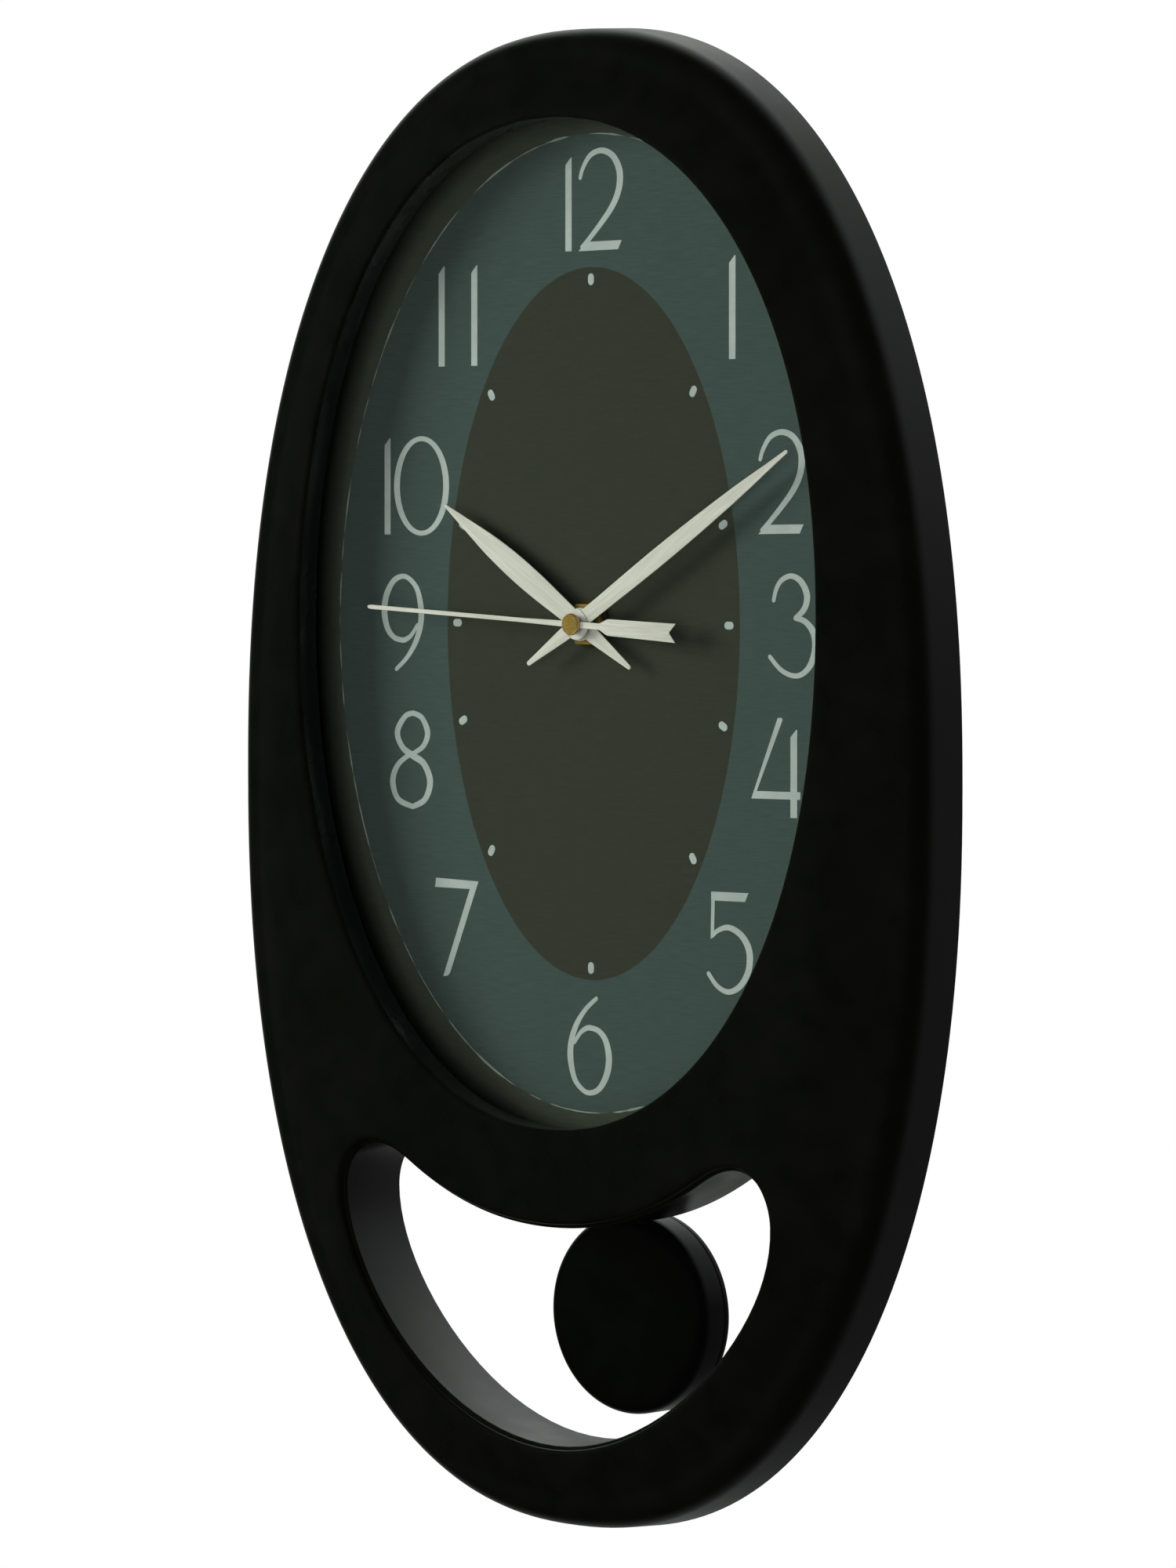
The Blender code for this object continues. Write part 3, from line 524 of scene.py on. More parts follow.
# %% Colour and the start of a finish
def linear(code):
    """An sRGB hex colour as linear light."""
    values = [int(code[i:i + 2], 16) / 255 for i in (0, 2, 4)]
    return tuple(v / 12.92 if v <= 0.04045 else ((v + 0.055) / 1.055) ** 2.4 for v in values) + (1.0,)


def start_finish(name):
    material = bpy.data.materials.new(name)
    material.use_nodes = True
    material.node_tree.nodes.clear()
    where = material.node_tree.nodes.new("ShaderNodeTexCoord").outputs["Object"]
    return material, material.node_tree, where


def per_mm(size):
    """The texture scale that makes a pattern's feature this many millimetres long."""
    return 1.0 / (size * MM)


def noise(tree, where, size, detail):
    """Noise with features of this many millimetres."""
    return add(tree, "ShaderNodeTexNoise",
               {"Vector": where, "Scale": per_mm(size), "Detail": detail}).outputs[0]


def ramp(tree, value, start, end, low=0.0, high=1.0):
    """A value that goes from low to high while the given one goes from start to end."""
    return add(tree, "ShaderNodeMapRange", {"Value": value, "From Min": start, "From Max": end,
                                            "To Min": low, "To Max": high}).outputs[0]


def blend(tree, share, first, second):
    """From the first colour to the second. Each is a hex code or a socket."""
    first, second = [linear(c) if isinstance(c, str) else c for c in (first, second)]
    return add(tree, "ShaderNodeMix", {0: share, 6: first, 7: second}, data_type="RGBA").outputs[2]


def end_finish(material, shader):
    """The material with its shader, or with a principled shader from a dictionary of inputs."""
    if isinstance(shader, dict):
        shader = add(material.node_tree, "ShaderNodeBsdfPrincipled", shader)
    add(material.node_tree, "ShaderNodeOutputMaterial", {"Surface": shader.outputs[0]})
    print("finish:", material.name)
    return material


# %% [markdown]
# Most finishes share one recipe: a colour that drifts a little from place to place, a roughness that
# does the same, and a fine bump for the grain of the mould, the brush or the casting. What makes each
# one itself is the colours, the size of its grain and how far apart its smooth and rough spots are.

# %% The shared recipe: drift, mottle and grain
def surface(name, colours, rough, grain, depth, metallic=0.0, stretch=(1.0, 1.0, 1.0), turn=0.0,
            patch=9.0, **fixed):
    """colours and rough are (low, high). grain and patch are in mm, and depth is the bump in mm."""
    material, tree, where = start_finish(name)
    laid = add(tree, "ShaderNodeMapping", {"Vector": where, "Rotation": (0.0, turn, 0.0), "Scale": stretch},
               vector_type="TEXTURE").outputs[0]
    fine = noise(tree, laid, grain, 1.0)
    broad = noise(tree, laid, patch, 2.0)
    mixed = maths(tree, "MULTIPLY", fine, broad)
    spread = ramp(tree, mixed, 0.12, 0.4)
    colour = blend(tree, spread, *colours)
    roughness = ramp(tree, mixed, 0.12, 0.4, rough[0], rough[1])
    bump = add(tree, "ShaderNodeBump", {"Height": fine, "Strength": 1.0, "Distance": depth * MM})
    return end_finish(material, {
        "Base Color": colour, "Roughness": roughness, "Metallic": metallic,
        "Normal": bump.outputs[0], **fixed})


# %% [markdown]
# The shell is ABS, moulded in a polished steel tool and sprayed black. It is a very dark satin with a
# faint warm cast, and a long soft ripple that only shows where a highlight runs along an edge. The
# rear housing is the same plastic from a spark-eroded tool, which leaves a dull, sandy grain.

# %% Plastics
SPRAYED_ABS = surface("sprayed_black_abs", ("050604", "080907"), (0.26, 0.32), 9.0, 0.008,
                      patch=40.0)
POLISHED_ABS = surface("polished_black_abs", ("030403", "050605"), (0.14, 0.2), 9.0, 0.006,
                       patch=40.0, **{"Specular IOR Level": 0.22})
GRAINED_ABS = surface("spark_grained_black_abs", ("191A18", "242523"), (0.48, 0.62), 0.55, 0.06)
BEZEL_ABS = surface("matt_black_abs_lining", ("060706", "0B0C0A"), (0.5, 0.6), 0.6, 0.02)
MOULDED_PS = surface("moulded_grey_polystyrene", ("2B2D2C", "383B39"), (0.38, 0.5), 0.5, 0.03)
WHITE_POM = surface("moulded_white_acetal", ("D9D6CB", "E8E5DA"), (0.35, 0.45), 0.7, 0.015)
CHIP_EPOXY = surface("black_potting_epoxy", ("0C0D0E", "1B1C1D"), (0.2, 0.4), 1.0, 0.05)

# %% [markdown]
# Metal keeps its default index of refraction and is told apart by colour and roughness. Steel screws
# are zinc plated, the hanger plate is hot-dip galvanised with soft crystals, brass is turned and
# lacquered, and the small magnets are sintered and dull.

# %% Metals
ZINC_STEEL = surface("zinc_plated_steel", ("A9ADB0", "C6C8C6"), (0.22, 0.36), 0.4, 0.01, metallic=1.0)
GALVANISED = surface("galvanised_sheet_steel", ("8E9294", "BABDBD"), (0.3, 0.5), 0.9, 0.02,
                     metallic=1.0, patch=3.0)
SPRING_STEEL = surface("rolled_spring_steel", ("8B8D90", "A9ABAC"), (0.24, 0.38), 0.35, 0.01,
                       metallic=1.0, stretch=(1.0, 1.0, 12.0))
POLISHED_STEEL = surface("polished_chrome_steel", ("C9CBCB", "DDDEDC"), (0.1, 0.18), 0.5, 0.003,
                         metallic=1.0)
TURNED_BRASS = surface("turned_lacquered_brass", ("C39A4C", "E0BD74"), (0.2, 0.34), 0.25, 0.008,
                       metallic=0.7)
# The washer's brass is given a darker colour than the nut's.
DULL_BRASS = surface("dark_brass", ("4A4028", "665835"), (0.4, 0.55), 0.4, 0.02, metallic=0.7)
SINTERED_MAGNET = surface("nickel_plated_magnet", ("5F6164", "8A8C8E"), (0.25, 0.42), 0.5, 0.02,
                          metallic=1.0)
TINNED_IRON = surface("stamped_soft_iron", ("77797B", "9C9E9F"), (0.3, 0.5), 0.6, 0.015, metallic=1.0)

# %% [markdown]
# The hands are stamped from aluminium sheet, brushed along their length and lacquered a warm silver.
# Brushing leaves fine scratches, so the noise is stretched along each hand: the mapping is turned by
# the angle at which that hand stands. Real scratches are 0.05 mm apart, drawn here at 0.35 mm to show.

# %% Brushed hands
HAND_ANGLES = {"hour": 303.3, "minute": 57.8, "second": 273.3}


def brushed(name, angle):
    return surface(f"brushed_aluminium_{name}_hand", ("C4BFBB", "D8D2D0"), (0.38, 0.52), 0.35, 0.006,
                   metallic=0.2, stretch=(1.0, 1.0, 26.0), turn=math.radians(angle), patch=2.2)


BRUSHED = {name: brushed(name, angle) for name, angle in HAND_ANGLES.items()}

# %% [markdown]
# The crystal is flat mineral glass. A shader that bends light keeps lamps from shining through it, so
# for shadow rays alone it is plain clear: the dial behind it is lit as it is behind real glass.

# %% Crystal
def crystal():
    material, tree, _ = start_finish("float_mineral_glass")
    glass = add(tree, "ShaderNodeBsdfPrincipled", {
        "Base Color": linear("F6FAF8"), "Roughness": 0.01, "IOR": 1.5, "Transmission Weight": 1.0})
    clear = add(tree, "ShaderNodeBsdfTransparent", {"Color": linear("F4F8F6")})
    rays = add(tree, "ShaderNodeLightPath")
    shader = add(tree, "ShaderNodeMixShader", {
        0: rays.outputs["Is Shadow Ray"], 1: glass.outputs[0], 2: clear.outputs[0]})
    return end_finish(material, shader)


CRYSTAL = crystal()

# %% [markdown]
# The dial is a sheet of satin foil on card, screen printed in three zones: a brown-black oval in the
# middle, a grey-green ring round it and a warmer margin that runs under the bezel. A hairline of bare
# foil shows where ring and margin meet. The foil is rolled, so its grain lies level, drawn 0.5 mm apart.

# %% Dial print
INNER_OVAL = (57.2, 105.6)
RING_OVAL = (101.4, 145.0)


def oval_reach(tree, where, half_width, half_height):
    """0 in the middle of the dial and 1 on the oval."""
    centred = add(tree, "ShaderNodeVectorMath", {0: where, 1: tuple(DIAL_CENTRE)}, operation="SUBTRACT")
    scaled = add(tree, "ShaderNodeVectorMath", {
        0: centred.outputs[0], 1: (per_mm(half_width), 0.0, per_mm(half_height))}, operation="MULTIPLY")
    return add(tree, "ShaderNodeVectorMath", {0: scaled.outputs[0]}, operation="LENGTH").outputs["Value"]


def dial_print():
    material, tree, where = start_finish("screen_printed_satin_foil")
    inner = oval_reach(tree, where, *INNER_OVAL)
    outer = oval_reach(tree, where, *RING_OVAL)
    in_ring = ramp(tree, inner, 0.998, 1.002)
    in_margin = ramp(tree, outer, 0.999, 1.001)
    two = blend(tree, in_ring, "34362F", "3F4A4A")
    three = blend(tree, in_margin, two, "3D413A")
    off = maths(tree, "SUBTRACT", outer, 1.0)
    off = maths(tree, "ABSOLUTE", off)
    worn = noise(tree, where, 11.0, 2.0)
    width = ramp(tree, worn, 0.42, 0.62, 0.0, 0.0026)
    line = maths(tree, "LESS_THAN", off, width)
    line = maths(tree, "MULTIPLY", line, 0.7)
    ruled = blend(tree, line, three, "9AA19A")
    rolled = add(tree, "ShaderNodeMapping", {"Vector": where, "Scale": (14.0, 1.0, 1.0)},
                 vector_type="TEXTURE").outputs[0]
    grain = noise(tree, rolled, 0.5, 3.0)
    tone = ramp(tree, grain, 0.3, 0.7, 0.86, 1.12)
    colour = add(tree, "ShaderNodeVectorMath", {0: ruled, "Scale": tone}, operation="SCALE").outputs[0]
    bump = add(tree, "ShaderNodeBump", {"Height": grain, "Distance": 0.01 * MM})
    return end_finish(material, {
        "Base Color": colour, "Roughness": 0.5, "Normal": bump.outputs[0], "Metallic": 0.15})


DIAL_PRINT = dial_print()
SILVER_INK = surface("screened_silver_ink", ("92989B", "A2A8AA"), (0.38, 0.5), 0.4, 0.004)

# %% [markdown]
# A few finishes carry a pattern of their own. Coils are wound from enamelled copper wire, whose turns
# show as fine ribs, drawn 0.5 mm apart; their colour is painted darker in the grooves between turns and
# lighter on the crests, a painted shade and painted highlight. The cell wears a printed plastic sleeve
# with a bright band at its plus end. The circuit board is green solder mask over pale copper tracks.

# %% Wound wire, the cell's sleeve and the circuit board
def wound_copper():
    material, tree, where = start_finish("wound_enamelled_copper")
    turns = add(tree, "ShaderNodeTexWave", {"Vector": where, "Scale": per_mm(0.5) / (2 * math.pi) * 1.57,
                                            "Distortion": 0.3}, wave_type="BANDS", bands_direction="X")
    # The colour runs dark in the grooves between turns and bright on their crests, following the bump:
    # painted shade and painted highlight.
    tone = blend(tree, turns.outputs["Fac"], "6E3A1E", "C07A48")
    bump = add(tree, "ShaderNodeBump", {"Height": turns.outputs["Fac"], "Distance": 0.12 * MM})
    return end_finish(material, {
        "Base Color": tone, "Metallic": 1.0, "Roughness": 0.28, "Normal": bump.outputs[0],
        "Coat Weight": 0.5, "Coat Roughness": 0.12})


def cell_sleeve():
    """Bands along x: the plus end is at +X."""
    material, tree, where = start_finish("printed_pvc_cell_sleeve")
    along = add(tree, "ShaderNodeSeparateXYZ", {"Vector": where}).outputs[0]
    at_band = maths(tree, "GREATER_THAN", along, 15.0 * MM)
    at_end = maths(tree, "GREATER_THAN", along, 24.4 * MM)
    at_base = maths(tree, "LESS_THAN", along, -24.0 * MM)
    bare = maths(tree, "MAXIMUM", at_end, at_base)
    printed = blend(tree, at_band, "23303F", "B9823E")
    colour = blend(tree, bare, printed, "A8AAA8")
    crease = noise(tree, where, 6.0, 1.0)
    bump = add(tree, "ShaderNodeBump", {"Height": crease, "Distance": 0.05 * MM})
    return end_finish(material, {
        "Base Color": colour, "Metallic": 0.35, "Roughness": 0.3, "Normal": bump.outputs[0],
        "Coat Weight": 0.4, "Coat Roughness": 0.1})


def circuit_board():
    material, tree, where = start_finish("solder_masked_board")
    tracks = add(tree, "ShaderNodeTexBrick", {
        "Vector": where, "Scale": per_mm(5.0), "Mortar Size": 0.03, "Color1": linear("24452B"),
        "Color2": linear("2B5133"), "Mortar": linear("7D9A5E")})
    return end_finish(material, {
        "Base Color": tracks.outputs["Color"], "Roughness": 0.35, "Coat Weight": 0.5})


WOUND_COPPER = wound_copper()
CELL_SLEEVE = cell_sleeve()
BOARD = circuit_board()

# %% [markdown]
# ## The shell
# The front shell is one moulding: a side wall, a round shoulder, a face that rises towards the middle,
# and two openings with rounded lips. Its height follows a rule, so the mesh is drawn from that rule.
# Rings of points follow the rim and each opening, a triangulation joins them, and each point is then
# lifted to the height that its distance from the rim gives it.

# %% The rule of the shell's height
FRAME_BACK = 6.2
WALL = 2.4
SIDE_DRAFT = 0.7
SHOULDER_START = -5.0
SHOULDER_RADIUS = 8.8
FACE_RUN = 26.0
FACE_RISE = 7.2
FACE_INSET = SIDE_DRAFT + SHOULDER_RADIUS
FACE_START = SHOULDER_START - SHOULDER_RADIUS
OPENING_END = -12.0
LIP = 1.7
BEAD = 1.0


def outline_array(points):
    return np.array(points, float)


def distance_to(points, outline):
    """The distance of each point from a closed outline."""
    best = np.full(len(points), 1e9)
    for start, end in zip(outline, np.roll(outline, -1, axis=0)):
        run = end - start
        t = np.clip(((points - start) @ run) / (run @ run), 0.0, 1.0)
        best = np.minimum(best, np.hypot(*(points - start - t[:, None] * run).T))
    return best


def inside(points, outline):
    """True for each point within a closed outline."""
    within = np.zeros(len(points), bool)
    for (x0, z0), (x1, z1) in zip(outline, np.roll(outline, -1, axis=0)):
        crosses = (z0 > points[:, 1]) != (z1 > points[:, 1])
        rise = np.where(z1 == z0, 1e-12, z1 - z0)
        within ^= crosses & (points[:, 0] < (x1 - x0) * (points[:, 1] - z0) / rise + x0)
    return within


RIM = outline_array(body_edge())


def face_height(points):
    share = np.clip((distance_to(points, RIM) - FACE_INSET) / FACE_RUN, 0.0, 1.0)
    return FACE_START - FACE_RISE * np.sin(share * math.pi / 2)


# %% [markdown]
# The face has to meet both openings, so its points lie on the lips, on lines parallel to the rim and on
# a coarse grid between them. None may be too near another line, or the triangles turn into slivers.

# %% The face between the shoulder and the openings
CROWN_STEPS = 12                     # lines of points over the run where the face rises
CLEAR_OF_RIM, CLEAR_OF_CROWN, CLEAR_OF_LIP, CLEAR_OF_WALL = 1.2, 1.5, 2.4, 0.7    # mm, for spare points


def face(bm, rim_ring, rim_points, openings, lip, lift, spacing):
    """Fill the face. openings are functions of a growth. Returns the ring of each opening's edge."""
    lip_rings = [(0.0, 0.0)]
    if lip:
        turns = [math.pi / 2 * step / 4 for step in range(5)]
        lip_rings = [(lip * (1 - math.cos(turn)), lip * (1 - math.sin(turn))) for turn in turns]
        lip_rings += [(lip + 0.5, 0.0), (lip + 1.4, 0.0)]
    points = [tuple(p) for p in rim_points]
    loops = [list(range(len(points)))]
    drops = [0.0] * len(points)
    edges = [opening(0.0) for opening in openings]
    for opening in openings:
        for number, (away, drop) in enumerate(lip_rings):
            ring = opening(away)
            if number == 0:
                loops.append(list(range(len(points), len(points) + len(ring))))
            points += ring
            drops += [drop] * len(ring)
    spare = []
    for step in range(1, CROWN_STEPS + 1):
        spare += body_edge(FACE_INSET + FACE_RUN * step / CROWN_STEPS)
    rows = range(-260, 180, spacing)
    spare += [(x + (z // spacing % 2) * spacing / 2, z) for z in rows for x in range(-130, 131, spacing)]
    spare, rim_line = outline_array(spare), outline_array(rim_points)
    keep = inside(spare, rim_line) & (distance_to(spare, rim_line) > CLEAR_OF_RIM)
    ridge = distance_to(spare, RIM)
    grid_from = CROWN_STEPS * len(RIM)
    keep[grid_from:] &= ridge[grid_from:] > FACE_INSET + FACE_RUN + CLEAR_OF_CROWN
    for edge in edges:
        edge = outline_array(edge)
        clear = lip + CLEAR_OF_LIP if lip else CLEAR_OF_WALL
        keep &= ~inside(spare, edge) & (distance_to(spare, edge) > clear)
    points += [tuple(p) for p in spare[keep]]
    drops += [0.0] * int(keep.sum())
    constraint = [(loop[i], loop[(i + 1) % len(loop)]) for loop in loops for i in range(len(loop))]
    flat, _, faces, origin, _, _ = geometry.delaunay_2d_cdt(
        [Vector(p) for p in points], constraint, [], 0, 1e-5)
    place = outline_array([tuple(p) for p in flat])
    drop = np.array([drops[o[0]] if o else 0.0 for o in origin])
    height = face_height(place) + drop + lift
    height[[i for i, o in enumerate(origin) if o and o[0] < len(rim_points)]] = FACE_START + lift
    verts = []
    for i, (x, z) in enumerate(place):
        source = origin[i][0] if origin[i] else len(points)
        verts.append(rim_ring[source] if source < len(rim_ring) else bm.verts.new((x, height[i], z)))
    middle = outline_array([np.mean(place[list(f)], axis=0) for f in faces])
    hidden = np.zeros(len(faces), bool)
    for edge in edges:
        hidden |= inside(middle, outline_array(edge))
    for corners, skip in zip(faces, hidden):
        if not skip:
            bm.faces.new([verts[i] for i in corners])
    where = {o[0]: verts[i] for i, o in enumerate(origin) if o}
    return [[where[i] for i in loop] for loop in loops[1:]]


def add_ring(bm, near, points, depths):
    """One more ring of a skin, joined to the one before. depths holds a y for each point, or is one y."""
    depths = depths if isinstance(depths, list) else [depths] * len(points)
    ring = [bm.verts.new((x, y, z)) for (x, z), y in zip(points, depths)]
    if near:
        ring_faces(bm, near, ring)
    return ring


def side(bm, inset, radius, start, steps):
    """The side wall and shoulder, from the back. Returns its first ring, last ring and last outline."""
    first = ring = add_ring(bm, None, body_edge(inset), FRAME_BACK)
    for step in range(steps + 1):
        angle = math.pi / 2 * step / steps
        outline = body_edge(inset + SIDE_DRAFT + radius * (1 - math.cos(angle)))
        ring = add_ring(bm, ring, outline, start - radius * math.sin(angle))
    return first, ring, outline


# %% [markdown]
# The wall of each opening runs back from its lip. In the smile-shaped window a fine groove and a
# narrow bead follow the lip, where a real moulding hides the join between its two steel tool halves.

# %% The whole shell
def front_shell():
    bm = bmesh.new()
    back_out, rim, outline = side(bm, 0.0, SHOULDER_RADIUS, SHOULDER_START, 10)
    outer = face(bm, rim, outline, [opening_edge, lambda extra: window_edge(BEAD + extra)], LIP, 0.0, 6)
    back_in, rim, outline = side(bm, WALL, SHOULDER_RADIUS - WALL, SHOULDER_START, 4)
    walls = [lambda extra: opening_edge(WALL + extra), lambda extra: window_edge(WALL + extra)]
    inner = face(bm, rim, outline, walls, 0.0, WALL, 12)
    ring_faces(bm, back_out, back_in)
    ring = outer[0]
    for extra, y in ((0.0, OPENING_END - 0.5), (0.15, OPENING_END - 0.15), (0.5, OPENING_END),
                     (WALL - 0.1, OPENING_END)):
        ring = add_ring(bm, ring, opening_edge(extra), y)
    ring_faces(bm, ring, inner[0])
    ring = outer[1]
    lip_end = [vert.co.y for vert in ring]
    for extra, back in ((BEAD + 0.3, 0.1), (BEAD + 0.35, 0.4), (0.6, 0.55), (0.2, 0.75), (0.0, 1.15),
                        (0.0, 1.6)):
        ring = add_ring(bm, ring, window_edge(extra), [y + back for y in lip_end])
    for extra, y in ((0.0, -14.0), (0.0, FRAME_BACK - 0.5), (0.15, FRAME_BACK - 0.15), (0.5, FRAME_BACK),
                     (WALL - 0.1, FRAME_BACK)):
        ring = add_ring(bm, ring, window_edge(extra), y)
    ring_faces(bm, ring, inner[1])
    return finished(bm, 40.0)


piece("front_shell", front_shell(), "case", "black_plastic", SPRAYED_ABS, "front_frame")

# %% [markdown]
# Six bosses stand inside the shell, and the housing's screws cut their own thread in them. One boss is
# turned and the tree sets it at six even steps on a line just outside the dial opening.

# %% Screw bosses
SCREW_LINE = {"Points": 64, "Pieces": 6, "Outwards": 18.8}
boss = collar(1.4, 3.4, -10.5, 5.9, 32, 0.3)
bosses = grown(boss, ALONG, SCREW_LINE, SPRAYED_ABS)
piece("screw_bosses", bosses, "case", "black_plastic", SPRAYED_ABS)

# %% [markdown]
# ## The dial
# The crystal, the dial and its backing plate are flat sheets whose edges are hidden, so their plain
# solids stay and only take a finish. The black ring that holds them apart shows its inner edge through
# the crystal, so it is swept smoothly along the oval.

# %% Ring between dial and crystal
ring_profile = softened([(10.3, -10.0), (12.7, -10.0), (12.7, -0.3), (10.3, -0.3)], 0.3, closed=True)
piece("dial_ring", moulded(ring_profile, BEZEL_ABS), "case", "dark_plastic", BEZEL_ABS, "dial_spacer")

# %% [markdown]
# The hour marks are small rounded bars of silver ink. One bar is drawn at the middle, standing upright,
# and the first tree sets twelve of them round an ellipse. Seen from the middle they are 30 degrees
# apart, so each one also points the right way.

# %% Hour marks
PRINT_FRONT, PRINT_BACK = -0.07, -0.01


def capsule(length, width, count=8):
    """An upright bar with round ends."""
    ends = arc(width / 2, 0.0, math.pi, count, (0.0, (length - width) / 2))
    return ends + [(-x, -z) for x, z in ends]


mark = stamped([capsule(3.5, 2.3)], PRINT_FRONT, PRINT_BACK, edge=0.02, edge_steps=0)
marks = grown(mark, AROUND, {"Copies": 12, "Half Width": 53.1, "Half Height": 102.0}, SILVER_INK)
piece("hour_marks", marks, "case", "dial_print", SILVER_INK)

# %% [markdown]
# The numerals are drawn in a slender style with open curves. A stroke is a smooth line through a few
# points, with a width at each that swells on the sides and thins towards the ends, which are round.
# Straight parts are plain outlines. Each numeral is a very thin solid that stands on the dial.

# %% Strokes of a numeral
def smooth_line(values, steps=7):
    """A smooth line through rows of numbers, with extra rows between them."""
    rows = [values[0]] + list(values) + [values[-1]]
    line = []
    for i in range(1, len(rows) - 2):
        before, a, b, after = rows[i - 1:i + 3]
        for k in range(steps):
            t = k / steps
            line.append(tuple(0.5 * (2 * p + (q - o) * t + (2 * o - 5 * p + 4 * q - r) * t * t
                                     + (3 * p - o - 3 * q + r) * t ** 3)
                              for o, p, q, r in zip(before, a, b, after)))
    return line + [tuple(values[-1])]


def stroke(rows, round_start=True, round_end=True):
    """The outline of a pen stroke: rows of (x, z, width)."""
    line = smooth_line(rows)
    left, right, ends = [], [], []
    for i, (x, z, width) in enumerate(line):
        before, after = line[max(i - 1, 0)], line[min(i + 1, len(line) - 1)]
        dx, dz = after[0] - before[0], after[1] - before[1]
        length = math.hypot(dx, dz)
        nx, nz = -dz / length * width / 2, dx / length * width / 2
        left.append((x + nx, z + nz))
        right.append((x - nx, z - nz))
        ends.append(math.atan2(nz, nx))
    far = arc(line[-1][2] / 2, ends[-1], ends[-1] - math.pi, 6, line[-1])[1:-1] if round_end else []
    near = arc(line[0][2] / 2, ends[0] + math.pi, ends[0], 6, line[0])[1:-1] if round_start else []
    return left + far + right[::-1] + near


def numeral(name, shapes):
    """shapes are outlines, or lists of an outline and its hole. Each lies a hair above the last."""
    layers = []
    for i, shape in enumerate(shapes):
        rings = shape if isinstance(shape[0], list) else [shape]
        layers.append(stamped(rings, PRINT_FRONT - 0.004 * i, PRINT_BACK - 0.004 * i, 0.01, 0))
    piece(name, joined(layers), "case", "dial_print", SILVER_INK)


# %% [markdown]
# Each figure is a few strokes or plain outlines, in millimetres about the middle of the dial. The nine is
# the six turned round.

# %% The figures' shapes
def one(x, z, height, width=2.45):
    """An upright whose top slants down to the left."""
    return [(x, z), (x + width, z), (x + width, z + height), (x + width - 0.4, z + height),
            (x, z + height - 2.2)]


def two(x, z):
    bow = [(0.7, 21.7, 1.3), (1.8, 24.6, 1.45), (4.6, 28.2, 1.6), (8.9, 29.5, 1.7), (13.1, 28.0, 2.0),
           (15.7, 24.3, 2.35), (16.2, 20.4, 2.4), (15.2, 16.4, 2.2), (12.8, 12.4, 2.0), (9.0, 8.2, 1.8),
           (4.6, 3.9, 1.6), (1.1, 0.75, 1.5)]
    foot = [(0.0, 0.0), (15.5, 0.2), (16.9, 2.85), (3.2, 2.7)]
    return [stroke([(x + a, z + b, w) for a, b, w in bow], round_end=False), shifted(foot, x, z)]


def six():
    side_line = [(2.1, -111.0, 1.3), (-2.2, -114.5, 1.5), (-5.7, -119.1, 1.9), (-7.7, -124.2, 2.2),
                 (-8.0, -129.2, 2.3), (-6.5, -135.0, 1.9), (-3.6, -138.1, 1.6), (-0.5, -139.15, 1.55),
                 (3.3, -137.7, 1.9), (6.2, -133.4, 2.3), (7.05, -128.4, 2.4), (5.75, -123.3, 2.1),
                 (2.9, -120.5, 1.7), (-0.5, -119.75, 1.6)]
    bowl = [(0.0, -119.75, 1.6), (-1.6, -119.95, 1.6), (-4.0, -121.3, 1.4), (-6.5, -124.4, 1.2)]
    return [stroke(side_line, round_end=False), stroke(bowl, round_start=False)]


def turned_round(shapes, centre, new_centre):
    """The same outlines turned by half a turn and moved: a six becomes a nine."""
    (cx, cz), (nx, nz) = centre, new_centre
    return [[(nx + cx - x, nz + cz - z) for x, z in shape] for shape in shapes]


def three():
    upper = [(69.9, 7.5, 1.35), (70.9, 10.8, 1.45), (73.0, 13.4, 1.55), (76.6, 14.5, 1.6),
             (80.2, 12.8, 2.0), (82.3, 9.0, 2.3), (81.4, 5.2, 2.0), (78.3, 2.5, 1.6)]
    lower = [(78.1, 2.4, 1.6), (81.6, 1.4, 1.8), (84.6, -1.6, 2.3), (85.4, -6.0, 2.4), (83.9, -10.6, 2.1),
             (81.0, -13.5, 1.7), (77.4, -14.3, 1.5), (72.7, -12.7, 1.45), (68.5, -8.9, 1.35)]
    return [stroke(upper), stroke(lower)]


def four():
    slope = [(71.4, -26.6), (72.7, -26.5), (73.3, -27.0), (63.6, -47.9), (61.6, -50.0)]
    bar = [(61.6, -50.1), (79.9, -50.1), (79.9, -47.9), (63.0, -47.9)]
    return [slope[::-1], bar, one(76.2, -55.4, 25.5, 2.5)]


def five():
    bar = [(46.4, -80.3), (59.2, -80.3), (60.5, -77.7), (46.4, -77.7)]
    stem = [(46.2, -91.6), (47.5, -90.9), (47.8, -79.0), (46.5, -79.0)]
    bowl = [(46.9, -90.6, 1.3), (49.2, -88.9, 1.45), (53.0, -88.0, 1.7), (57.3, -89.7, 2.0),
            (60.2, -93.0, 2.3), (61.1, -96.9, 2.4), (60.2, -101.2, 2.2), (57.2, -105.1, 1.9),
            (53.0, -106.8, 1.6), (48.8, -105.3, 1.5), (45.4, -101.7, 1.35)]
    return [bar, stem, stroke(bowl)]


def seven():
    bar = [(-62.3, -80.0), (-46.5, -80.2), (-44.7, -77.8), (-61.9, -77.2)]
    stem = [(-47.7, -79.0), (-44.7, -77.8), (-56.2, -105.8), (-57.2, -106.7), (-59.0, -106.9)]
    return [bar, stem[::-1]]


